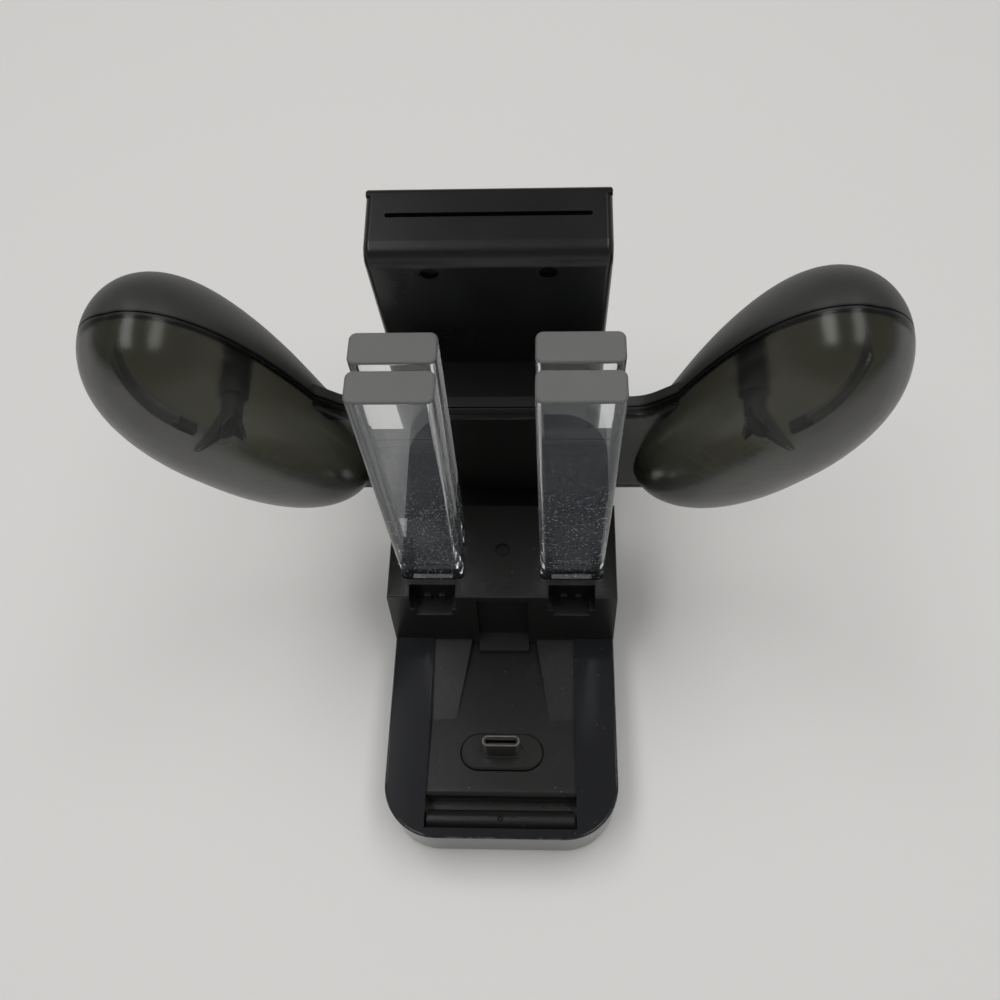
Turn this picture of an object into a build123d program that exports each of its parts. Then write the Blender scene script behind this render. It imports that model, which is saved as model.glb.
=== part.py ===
from build123d import *
import os
from math import atan2, cos, degrees, radians, sin, tan

# A charging dock for game controllers, in millimetres.
# The front tray carries a tilted plug, two pairs of clear columns stand on the tower's deck,
# and a hand grip stands upside down in the cradle behind the tower.
# +X is to the right, +Y to the back, +Z up, and the origin is under the middle of the dock.

# Dock plan, walls and clearances
DOCK_WIDTH = 52.0
DOCK_LENGTH = 112.0
FRONT_CORNER = 12.0
REAR_CORNER = 5.0
WALL = 2.0
FIT = 0.2
CLOSE_FIT = 0.05
EDGE_ROUND = 0.5

# Heights, from the desk up
FOOT_DROP = 0.8
FOOT_RECESS = 0.6
COVER_THICK = 2.0
CHAMBER_TOP = 8.0
TOWER_CHAMBER_TOP = 12.0
SHELF_HEIGHT = 10.0
TRAY_BACK_HEIGHT = 14.0
RIM_HEIGHT = 16.7
DECK_HEIGHT = 32.7

# Tower and deck, measured from the line of the columns
COLUMN_SETBACK = 61.2
TOWER_FOOT_REACH = 14.8
DECK_REACH = 11.65
TOWER_SIDE_WALL = 2.0
TOWER_END_WALL = 5.0
DECK_THICK = 2.6
NOTCH_WIDTH = 10.5
NOTCH_LOW_WIDTH = 8.4
NOTCH_DEPTH = 3.0
NOTCH_DROP = 5.7
NOTCH_LEDGE = 2.2
BOARD_RIB_THICK = 1.0
BOARD_RIB_LENGTH = 9.0

# Tray
RAMP_TILT = 7.0
RAMP_WIDTH = 33.4
RAMP_DROP = 0.8
RAMP_ROUND = 1.6
GROOVE_NEAR = 2.2
GROOVE_FAR = 9.2
GROOVE_DEPTH = 5.8
BAR_RADIUS = 2.1
BAR_SETBACK = 4.4
BAR_LENGTH = 32.4
BAR_DROP = 0.8
BAR_DIMPLE = 0.6
SHOULDER_SETBACK = 27.0
CHANNEL_WIDTH = 15.4
CHANNEL_MOUTH = 21.6
STEP_WIDTH = 11.8
STEP_REACH = 2.6
STEP_HEIGHT = 12.9
RECESS_DEPTH = 1.8
RECESS_LIP = 2.0

# Plugs
PLUG_SETBACK = 19.2
CARRIER_LENGTH = 18.6
CARRIER_WIDTH = 8.4
CARRIER_RISE = 1.0
CARRIER_DROP = 6.0
CARRIER_EDGE = 0.4
PLINTH_LENGTH = 9.8
PLINTH_WIDTH = 3.8
PLINTH_RISE = 0.6
PLUG_LENGTH = 8.25
PLUG_WIDTH = 2.4
PLUG_RISE = 5.6
PLUG_WALL = 0.3
PLUG_INSERT_DROP = 0.3
PLUG_SLOT_LENGTH = 6.7
PLUG_SLOT_WIDTH = 0.8
PLUG_SLOT_DEPTH = 4.8
CRADLE_PLUG_RISE = 6.0
PLUG_BOARD_LENGTH = 15.0
PLUG_BOARD_WIDTH = 6.6
BOARD_THICK = 1.4

# Clear columns
COLUMN_SPACING = 31.5
COLUMN_FOOT_WIDTH = 14.0
COLUMN_TOP_WIDTH = 15.2
COLUMN_DEPTH = 6.5
COLUMN_GAP = 1.3
COLUMN_HEIGHT = 74.5
COLUMN_CORNER = 1.4
COLUMN_WALL = 1.4
COLUMN_CAP = 2.2
COLUMN_EDGE = 0.6
COLUMN_SOCKET = 1.2
LAMP_WINDOW_LENGTH = 9.0
LAMP_WINDOW_WIDTH = 3.0
LAMP_SIZE = 2.6
LAMP_RISE = 1.0
LAMP_BOARD_DROP = 6.2
LAMP_BOARD_DEPTH = 12.4

# Indicator lens
LENS_DIAMETER = 2.8
LENS_RISE = 0.25
LENS_LENGTH = 4.4

# Feet, screws, boards and sockets inside the dock
FOOT_DIAMETER = 8.0
FOOT_X = 15.0
FOOT_INSET = 14.0
SCREW_DIAMETER = 2.0
SCREW_HEAD = 4.0
SCREW_HEAD_RISE = 1.2
SCREW_REACH = 5.0
PILOT_DEPTH = 5.8
POST_DIAMETER = 5.2
POST_X = 20.5
POST_FRONT_INSET = 22.0
POST_BEHIND_DECK = 9.15
STANDOFF_DIAMETER = 4.0
STANDOFF_RISE = 1.2
STANDOFF_INSET = 3.0
MAIN_BOARD_WIDTH = 35.0
MAIN_BOARD_INSET = 9.0
MAIN_BOARD_LENGTH = 66.0
WIRE_HOLE = 7.0
INLET_LENGTH = 8.94
INLET_WIDTH = 3.2
INLET_DEPTH = 9.0
INLET_WALL = 0.4
INLET_SINK = 0.3
TONGUE_THICK = 0.7
TONGUE_LENGTH = 6.4
TONGUE_SETBACK = 1.2
CONTACT_WIDTH = 1.4
CONTACT_PITCH = 3.4
CONTACT_LENGTH = 2.0
CONTACT_THICK = 0.4

# Seat of the hand grip, which leans towards the tray
GRIP_SEAT_BEHIND = 31.8
GRIP_SEAT_HEIGHT = 6.5
GRIP_LEAN = 7.0
CRADLE_CLEARANCE = 0.3
CRADLE_WALL = 2.2
CRADLE_RISE = 9.0
CRADLE_FLOOR = 2.2

# Grip body, in the grip's own frame: x right, y into the body from its plate, z up
BODY_WIDTH = 43.0
BODY_HEIGHT = 105.0
BODY_DEPTH = 14.5
BODY_EDGE = 1.2
BODY_ROLL = 3.4
BODY_WALL = 1.8
BODY_SIDE_WALL = 4.4
FACE_THICK = 1.8
FACE_PANEL_INSET = 5.0
FACE_PANEL_STEP = 0.4
TOP_SLOT_LENGTH = 36.0
TOP_SLOT_WIDTH = 0.9
TOP_SLOT_DEPTH = 1.1
TOP_SLOT_BEHIND = 8.6
PLATE_HOLE_DIAMETER = 3.3
PLATE_HOLE_DEPTH = 1.2
PLATE_HOLE_SPACING = 20.8
PLATE_HOLE_DROP = 5.0
PLATE_POST_DIAMETER = 5.6
PLATE_SCREW_DIAMETER = 1.6
PLATE_SCREW_HEAD = 2.9
PLATE_SCREW_HEAD_RISE = 0.6
PLATE_SCREW_REACH = 8.0
RAIL_LENGTH = 84.0
RAIL_WIDTH = 8.4
RAIL_DEPTH = 2.6
RAIL_BACK = 0.8
RAIL_LIP = 0.7
RAIL_MOUTH = 5.2
RAIL_UNDERCUT = 6.8
GRIP_BOARD_WIDTH = 30.0
GRIP_BOARD_LENGTH = 84.0
GRIP_BOARD_RISE = 4.0
GRIP_RIB_SPACING = 24.0
GRIP_RIB_THICK = 1.4
GRIP_RIB_LOW = 16.0
GRIP_RIB_LENGTH = 60.0
PORT_LENGTH = 9.2
PORT_WIDTH = 3.4
PORT_DEPTH = 8.2
PORT_WALL = 0.3

# Bridge between the handles, in the grip's frame and measured towards the tray
PARTING_REACH = 11.0
PARTING_GAP = 0.25
BRIDGE_FRONT_REACH = 13.4
BRIDGE_REAR_REACH = 8.7
BRIDGE_LOW = 30.3
BRIDGE_HIGH = 69.2
BRIDGE_END = 45.0
BRIDGE_END_LOW = 45.0
BRIDGE_FOOT = 37.0
FLARE_START = 29.5
FLARE_END = 37.4
FLARE_RISE = 8.0
FLARE_ROUND = 7.0
BRIDGE_WALL = 1.4
BRIDGE_RIM = 1.6
BRIDGE_EDGE = 0.8
PAD_WIDTH = 36.0
PAD_MARGIN = 1.6

# Handles: egg shapes whose axis lies in the parting plane and leans outwards
HANDLE_MID_X = 51.2
HANDLE_MID_Z = 66.8
HANDLE_TURN = 17.9
HANDLE_LENGTH = 82.0
HANDLE_HALF_WIDTH = 17.7
HANDLE_FULLNESS = 2.45
HANDLE_TRAY_DEPTH = 16.1
HANDLE_TRAY_SWELL = 4.3
HANDLE_BACK_DEPTH = 12.4
HANDLE_BACK_SWELL = 7.5
HANDLE_WALL = 1.8
# Where the handle is cut into sections, as shares of its half length
HANDLE_SHARES = (-0.96, -0.83, -0.6, -0.3, 0.0, 0.3, 0.6, 0.83, 0.96)

# Posts and ribs inside the handles
HANDLE_POST_X = 47.5
HANDLE_POST_Z = 86.5
HANDLE_POST_DIAMETER = 5.4
HANDLE_POST_REACH = 16.7
BACK_POST_DIAMETER = 4.0
BACK_POST_REACH = 16.9
POST_RIB_SPLAY = 7.0
POST_RIB_DROP = 9.0
POST_RIB_THICK = 0.9
POST_RIB_TURNS = (-20, -110, 125)
SPINE_RIB_X = 57.5
SPINE_RIB_Z = 95.8
SPINE_RIB_TURN = 35.0
SPINE_RIB_LENGTH = 17.0
SPINE_RIB_RISE = 1.5
HANDLE_SCREW_DIAMETER = 1.6
HANDLE_SCREW_HEAD = 3.2
HANDLE_SCREW_HEAD_RISE = 1.4
HANDLE_SCREW_SEAT = 3.0
HANDLE_SCREW_LENGTH = 17.6
HANDLE_SCREW_PILOT = 4.0

# Places that follow from the sizes above
FRONT_Y = -DOCK_LENGTH / 2
REAR_Y = DOCK_LENGTH / 2
COLUMN_Y = FRONT_Y + COLUMN_SETBACK
TOWER_FOOT_Y = COLUMN_Y - TOWER_FOOT_REACH
DECK_FRONT_Y = COLUMN_Y - DECK_REACH
DECK_REAR_Y = COLUMN_Y + DECK_REACH
PLAN_CORNERS = (FRONT_CORNER, REAR_CORNER, REAR_CORNER, FRONT_CORNER)
TOWER_HALF = DOCK_WIDTH / 2 - TOWER_SIDE_WALL
COVER_TOP = FOOT_DROP + COVER_THICK
COLUMN_FOOT_Z = DECK_HEIGHT - COLUMN_SOCKET
NOTCH_FLOOR = DECK_HEIGHT - NOTCH_DROP
BOARD_LOW = COVER_TOP + STANDOFF_RISE
BOARD_TOP = BOARD_LOW + BOARD_THICK
LAMP_BOARD_TOP = DECK_HEIGHT - LAMP_BOARD_DROP
LAMP_BOARD_LOW = LAMP_BOARD_TOP - BOARD_THICK
MAIN_BOARD_Y = FRONT_Y + MAIN_BOARD_INSET + MAIN_BOARD_LENGTH / 2
TRAY_RUN = TOWER_FOOT_Y - FRONT_Y
TRAY_SLOPE = degrees(atan2(RIM_HEIGHT - TRAY_BACK_HEIGHT, TRAY_RUN))
PLUG_Y = FRONT_Y + PLUG_SETBACK
RAMP_Y = FRONT_Y + GROOVE_FAR
RAMP_Z = RIM_HEIGHT - RAMP_DROP - GROOVE_FAR * tan(radians(TRAY_SLOPE))
SHOULDER_Y = FRONT_Y + SHOULDER_SETBACK
PLUG_TIP = CARRIER_RISE + PLINTH_RISE + PLUG_RISE
INLET_Z = BOARD_TOP + INLET_WIDTH / 2
INLET_X = DOCK_WIDTH / 2 - INLET_SINK
PLATE_HOLE_Z = BODY_HEIGHT - PLATE_HOLE_DROP
FACE_Y = BODY_DEPTH - FACE_THICK
PORT_Y = BODY_DEPTH / 2
GRIP_BOARD_Y = PORT_Y + PORT_WIDTH / 2
HANDLE_MID = Vector(HANDLE_MID_X, -PARTING_REACH, HANDLE_MID_Z)
HANDLE_AXIS = Vector(sin(radians(HANDLE_TURN)), 0, cos(radians(HANDLE_TURN)))
HANDLE_SIDE = Vector(HANDLE_AXIS.Z, 0, -HANDLE_AXIS.X)
POST_PLACES = [
    (side * POST_X, y)
    for side in (-1, 1)
    for y in (FRONT_Y + POST_FRONT_INSET, DECK_REAR_Y + POST_BEHIND_DECK)
]
FOOT_PLACES = [
    (side * FOOT_X, y) for side in (-1, 1) for y in (FRONT_Y + FOOT_INSET, REAR_Y - FOOT_INSET)
]
COLUMN_PLACES = {
    f"{side}_{row}": (sx * COLUMN_SPACING / 2, COLUMN_Y + sy * (COLUMN_DEPTH + COLUMN_GAP) / 2)
    for side, sx in (("left", -1), ("right", 1))
    for row, sy in (("front", -1), ("rear", 1))
}

# Tilted planes: the top of the tray, the ramp under the plug, the seat of the grip
TRAY_TOP = Plane(
    origin=(0, FRONT_Y, RIM_HEIGHT),
    x_dir=(1, 0, 0),
    z_dir=(0, sin(radians(TRAY_SLOPE)), cos(radians(TRAY_SLOPE))),
)


def ramp_height(y):
    """Height of the ramp's surface at a place along the dock."""
    return RAMP_Z - (y - RAMP_Y) * tan(radians(RAMP_TILT))


RAMP = Plane(
    origin=(0, PLUG_Y, ramp_height(PLUG_Y)),
    x_dir=(1, 0, 0),
    z_dir=(0, sin(radians(RAMP_TILT)), cos(radians(RAMP_TILT))),
)
GRIP_SEAT = Plane(
    origin=(0, COLUMN_Y + GRIP_SEAT_BEHIND, GRIP_SEAT_HEIGHT),
    x_dir=(1, 0, 0),
    z_dir=(0, -sin(radians(GRIP_LEAN)), cos(radians(GRIP_LEAN))),
)
CRADLE_SEAT = Plane(
    origin=GRIP_SEAT.from_local_coords((0, PORT_Y, 0)),
    x_dir=GRIP_SEAT.x_dir,
    z_dir=GRIP_SEAT.z_dir,
)


def dock_block(inset, tops):
    """Block on the dock's plan, drawn in by inset, under a side outline of (y, z) points."""
    half = DOCK_WIDTH / 2 - inset
    near = FRONT_Y + inset
    far = REAR_Y - inset
    with BuildPart() as block:
        with BuildSketch(Plane.XY.offset(FOOT_DROP)):
            with BuildLine():
                FilletPolyline(
                    (half, near), (half, far), (-half, far), (-half, near), close=True,
                    radius=[corner - inset for corner in PLAN_CORNERS],
                )
            make_face()
        extrude(amount=DECK_HEIGHT)
        with BuildSketch(Plane.YZ):
            Polygon((FRONT_Y, 0), (REAR_Y, 0), *reversed(tops), align=None)
        extrude(amount=DOCK_WIDTH / 2, both=True, mode=Mode.INTERSECT)
    return block.part


# Base shell: tray, floor of the tower, shelf and cradle in one moulding
BASE_TOPS = (
    (FRONT_Y, RIM_HEIGHT),
    (TOWER_FOOT_Y, TRAY_BACK_HEIGHT),
    (DECK_REAR_Y, TRAY_BACK_HEIGHT),
    (DECK_REAR_Y, SHELF_HEIGHT),
    (REAR_Y, SHELF_HEIGHT),
)
CHAMBER_TOPS = (
    (FRONT_Y, CHAMBER_TOP),
    (TOWER_FOOT_Y + WALL, CHAMBER_TOP),
    (TOWER_FOOT_Y + WALL, TOWER_CHAMBER_TOP),
    (DECK_REAR_Y - WALL, TOWER_CHAMBER_TOP),
    (DECK_REAR_Y - WALL, CHAMBER_TOP),
    (REAR_Y, CHAMBER_TOP),
)
SHOULDER_Z = ramp_height(SHOULDER_Y)
GROOVE_Y = FRONT_Y + GROOVE_NEAR
BAR_Y = FRONT_Y + BAR_SETBACK
BAR_Z = RIM_HEIGHT - BAR_DROP - BAR_RADIUS
# Channel between the tray's shoulders, which goes on down and narrows to the foot of the tower
with BuildPart() as channel:
    with BuildSketch(Plane.YZ):
        Polygon(
            (SHOULDER_Y, SHOULDER_Z), (TOWER_FOOT_Y, ramp_height(TOWER_FOOT_Y)),
            (TOWER_FOOT_Y, SHOULDER_Z), align=None,
        )
    extrude(amount=CHANNEL_MOUTH / 2, both=True)
    with BuildSketch():
        Polygon(
            (-CHANNEL_MOUTH / 2, SHOULDER_Y), (CHANNEL_MOUTH / 2, SHOULDER_Y),
            (CHANNEL_WIDTH / 2, TOWER_FOOT_Y), (-CHANNEL_WIDTH / 2, TOWER_FOOT_Y), align=None,
        )
    extrude(amount=RIM_HEIGHT, mode=Mode.INTERSECT)

with BuildPart() as base_shell:
    add(dock_block(0, BASE_TOPS))
    fillet(base_shell.faces().sort_by(Axis.Z)[0].edges(), radius=EDGE_ROUND)
    tray_top = base_shell.faces().filter_by(lambda f: (f.center() - TRAY_TOP.origin).Y < TRAY_RUN)
    tray_edges = tray_top.sort_by(Axis.Z)[-1].edges()
    fillet(tray_edges.filter_by(lambda e: e.center().Y < TOWER_FOOT_Y - CLOSE_FIT), radius=EDGE_ROUND)
    add(dock_block(WALL, CHAMBER_TOPS), mode=Mode.SUBTRACT)
    # Screw posts hang from the roof down to the bottom cover
    with BuildSketch(Plane.XY.offset(COVER_TOP)):
        with Locations(*POST_PLACES):
            Circle(POST_DIAMETER / 2)
    extrude(amount=CHAMBER_TOP - COVER_TOP)
    with BuildSketch(Plane.XY.offset(COVER_TOP)):
        with Locations(*POST_PLACES):
            Circle(SCREW_DIAMETER / 2)
    extrude(amount=PILOT_DEPTH, mode=Mode.SUBTRACT)
    # Ramp that falls away behind the groove and runs level between the shoulders
    with BuildSketch(Plane.YZ):
        Polygon(
            (GROOVE_Y, ramp_height(GROOVE_Y)), (SHOULDER_Y, SHOULDER_Z), (TOWER_FOOT_Y, SHOULDER_Z),
            (TOWER_FOOT_Y, RIM_HEIGHT), (GROOVE_Y, RIM_HEIGHT), align=None,
        )
    extrude(amount=RAMP_WIDTH / 2, both=True, mode=Mode.SUBTRACT)
    add(channel.part, mode=Mode.SUBTRACT)
    # Step in the channel at the foot of the tower, which runs back into the tower's recess
    with BuildSketch(Plane.XY.offset(CHAMBER_TOP)):
        with Locations((0, TOWER_FOOT_Y - STEP_REACH / 2)):
            Rectangle(STEP_WIDTH, STEP_REACH)
    extrude(amount=STEP_HEIGHT - CHAMBER_TOP)
    with BuildSketch(Plane.XY.offset(STEP_HEIGHT)):
        with Locations((0, TOWER_FOOT_Y + RECESS_DEPTH / 2)):
            Rectangle(STEP_WIDTH, RECESS_DEPTH)
    extrude(amount=DECK_HEIGHT, mode=Mode.SUBTRACT)
    # Groove with a rounded bar across the front
    with BuildSketch(TRAY_TOP):
        with Locations((0, (GROOVE_NEAR + GROOVE_FAR) / 2)):
            Rectangle(RAMP_WIDTH, GROOVE_FAR - GROOVE_NEAR)
    extrude(amount=-GROOVE_DEPTH, mode=Mode.SUBTRACT)
    lip = base_shell.edges().filter_by(Axis.X).sort_by_distance((0, RAMP_Y, RAMP_Z))[0]
    fillet(lip, radius=RAMP_ROUND)
    with BuildSketch(Plane.YZ):
        with Locations((BAR_Y, BAR_Z)):
            Circle(BAR_RADIUS)
        with Locations((BAR_Y, BAR_Z - GROOVE_DEPTH / 2)):
            Rectangle(2 * BAR_RADIUS, GROOVE_DEPTH)
    extrude(amount=BAR_LENGTH / 2, both=True)
    with Locations((0, BAR_Y, BAR_Z + BAR_RADIUS)):
        Sphere(BAR_DIMPLE, mode=Mode.SUBTRACT)
    # Oval hole for the plug carrier
    with BuildSketch(RAMP):
        SlotOverall(CARRIER_LENGTH + 2 * FIT, CARRIER_WIDTH + 2 * FIT)
    extrude(amount=CARRIER_DROP + BOARD_THICK, both=True, mode=Mode.SUBTRACT)
    # Way for the wires up into the tower
    with BuildSketch(Plane.XY.offset(TOWER_CHAMBER_TOP)):
        with Locations((0, COLUMN_Y)):
            Circle(WIRE_HOLE / 2)
    extrude(amount=WALL, mode=Mode.SUBTRACT)
    # Mouth of the power inlet in the right wall
    with BuildSketch(Plane.YZ.offset(DOCK_WIDTH / 2)):
        with Locations((COLUMN_Y, INLET_Z)):
            SlotOverall(INLET_LENGTH + 2 * FIT, INLET_WIDTH + 2 * FIT)
    extrude(amount=-WALL, mode=Mode.SUBTRACT)
    # Cradle: a collar round the grip's lower end, with a floor and a hole for its plug
    with BuildSketch(GRIP_SEAT.offset(-CRADLE_FLOOR)):
        with Locations((0, BODY_DEPTH / 2)):
            RectangleRounded(
                BODY_WIDTH + 2 * (CRADLE_CLEARANCE + CRADLE_WALL),
                BODY_DEPTH + 2 * (CRADLE_CLEARANCE + CRADLE_WALL),
                BODY_EDGE + CRADLE_WALL,
            )
    extrude(amount=CRADLE_FLOOR + CRADLE_RISE)
    with BuildSketch(GRIP_SEAT):
        with Locations((0, BODY_DEPTH / 2)):
            Rectangle(BODY_WIDTH + 2 * CRADLE_CLEARANCE, BODY_DEPTH + 2 * CRADLE_CLEARANCE)
    extrude(amount=CRADLE_RISE + SHELF_HEIGHT, mode=Mode.SUBTRACT)
    with BuildSketch(CRADLE_SEAT):
        SlotOverall(PLUG_LENGTH + 2 * FIT, PLUG_WIDTH + 2 * FIT)
    extrude(amount=-CRADLE_FLOOR - WALL, mode=Mode.SUBTRACT)

# Bottom cover with standoffs for the board, recesses for the feet and holes for the screws
with BuildPart() as bottom_cover:
    add(dock_block(WALL + FIT, ((FRONT_Y, COVER_TOP), (REAR_Y, COVER_TOP))))
    with BuildSketch(Plane.XY.offset(COVER_TOP)):
        with Locations((0, MAIN_BOARD_Y)):
            with GridLocations(
                MAIN_BOARD_WIDTH - 2 * STANDOFF_INSET, MAIN_BOARD_LENGTH - 2 * STANDOFF_INSET, 2, 2
            ):
                Circle(STANDOFF_DIAMETER / 2)
    extrude(amount=STANDOFF_RISE)
    with BuildSketch(Plane.XY.offset(FOOT_DROP)):
        with Locations(*FOOT_PLACES):
            Circle(FOOT_DIAMETER / 2 + FIT)
    extrude(amount=FOOT_RECESS, mode=Mode.SUBTRACT)
    with BuildSketch(Plane.XY.offset(FOOT_DROP)):
        with Locations(*POST_PLACES):
            Circle(SCREW_HEAD / 2 + FIT)
    extrude(amount=SCREW_HEAD_RISE, mode=Mode.SUBTRACT)
    with BuildSketch(Plane.XY.offset(FOOT_DROP)):
        with Locations(*POST_PLACES):
            Circle(SCREW_DIAMETER / 2 + FIT)
    extrude(amount=COVER_THICK, mode=Mode.SUBTRACT)

with BuildPart() as rubber_feet:
    with BuildSketch():
        with Locations(*FOOT_PLACES):
            Circle(FOOT_DIAMETER / 2)
    extrude(amount=FOOT_DROP + FOOT_RECESS)
    chamfer(rubber_feet.edges().group_by(Axis.Z)[0], length=FOOT_DROP / 2)

with BuildPart() as bottom_screws:
    with BuildSketch(Plane.XY.offset(FOOT_DROP)):
        with Locations(*POST_PLACES):
            Circle(SCREW_HEAD / 2)
    extrude(amount=SCREW_HEAD_RISE)
    with BuildSketch(Plane.XY.offset(FOOT_DROP + SCREW_HEAD_RISE)):
        with Locations(*POST_PLACES):
            Circle(SCREW_DIAMETER / 2 - CLOSE_FIT)
    extrude(amount=COVER_THICK - SCREW_HEAD_RISE + SCREW_REACH)

with BuildPart() as main_board:
    with BuildSketch(Plane.XY.offset(BOARD_LOW)):
        with Locations((0, MAIN_BOARD_Y)):
            Rectangle(MAIN_BOARD_WIDTH, MAIN_BOARD_LENGTH)
    extrude(amount=BOARD_THICK)


def socket_shell(plane, length, width, wall, depth):
    """Socket that opens at the plane and runs back from it, with a tongue inside."""
    with BuildPart() as socket:
        with BuildSketch(plane):
            SlotOverall(length, width)
        extrude(amount=-depth)
        with BuildSketch(plane):
            SlotOverall(length - 2 * wall, width - 2 * wall)
        extrude(amount=-(depth - wall), mode=Mode.SUBTRACT)
        with BuildSketch(plane.offset(-TONGUE_SETBACK)):
            Rectangle(TONGUE_LENGTH, TONGUE_THICK)
        extrude(amount=TONGUE_SETBACK - depth + wall)
    return socket


INLET_MOUTH = Plane(origin=(INLET_X, COLUMN_Y, INLET_Z), x_dir=(0, 1, 0), z_dir=(1, 0, 0))
power_inlet = socket_shell(INLET_MOUTH, INLET_LENGTH, INLET_WIDTH, INLET_WALL, INLET_DEPTH)

# Oval carrier that holds the tray's plug
with BuildPart() as plug_carrier:
    with BuildSketch(RAMP.offset(-CARRIER_DROP)):
        SlotOverall(CARRIER_LENGTH, CARRIER_WIDTH)
    extrude(amount=CARRIER_DROP + CARRIER_RISE)
    chamfer(plug_carrier.faces().sort_by(Axis.Z)[-1].edges(), length=CARRIER_EDGE)
    with BuildSketch(RAMP.offset(CARRIER_RISE)):
        SlotOverall(PLINTH_LENGTH, PLINTH_WIDTH)
    extrude(amount=PLINTH_RISE)
    chamfer(plug_carrier.faces().sort_by(Axis.Z)[-1].edges(), length=CARRIER_EDGE)
    with BuildSketch(RAMP):
        SlotOverall(PLUG_LENGTH + 2 * CLOSE_FIT, PLUG_WIDTH + 2 * CLOSE_FIT)
    extrude(amount=CARRIER_DROP + PLUG_TIP, both=True, mode=Mode.SUBTRACT)

with BuildPart() as plug_board:
    with BuildSketch(RAMP.offset(-CARRIER_DROP)):
        Rectangle(PLUG_BOARD_LENGTH, PLUG_BOARD_WIDTH)
    extrude(amount=-BOARD_THICK)


def plug_shell(plane, low, high):
    """Metal sleeve of a plug, standing on a plane."""
    with BuildPart() as sleeve:
        with BuildSketch(plane.offset(low)):
            SlotOverall(PLUG_LENGTH, PLUG_WIDTH)
            SlotOverall(PLUG_LENGTH - 2 * PLUG_WALL, PLUG_WIDTH - 2 * PLUG_WALL, mode=Mode.SUBTRACT)
        extrude(amount=high - low)
    return sleeve


def plug_insert(plane, low, high):
    """Moulded filling of a plug's sleeve, with the slot that takes the socket's tongue."""
    inner = PLUG_WALL + CLOSE_FIT
    with BuildPart() as filling:
        with BuildSketch(plane.offset(low)):
            SlotOverall(PLUG_LENGTH - 2 * inner, PLUG_WIDTH - 2 * inner)
        extrude(amount=high - PLUG_INSERT_DROP - low)
        with BuildSketch(plane.offset(high)):
            Rectangle(PLUG_SLOT_LENGTH, PLUG_SLOT_WIDTH)
        extrude(amount=-PLUG_SLOT_DEPTH, mode=Mode.SUBTRACT)
    return filling


tray_plug_shell = plug_shell(RAMP, -CARRIER_DROP, PLUG_TIP)
tray_plug_insert = plug_insert(RAMP, -CARRIER_DROP, PLUG_TIP)
cradle_plug_shell = plug_shell(CRADLE_SEAT, -CRADLE_FLOOR, CRADLE_PLUG_RISE)
cradle_plug_insert = plug_insert(CRADLE_SEAT, -CRADLE_FLOOR, CRADLE_PLUG_RISE)

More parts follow.
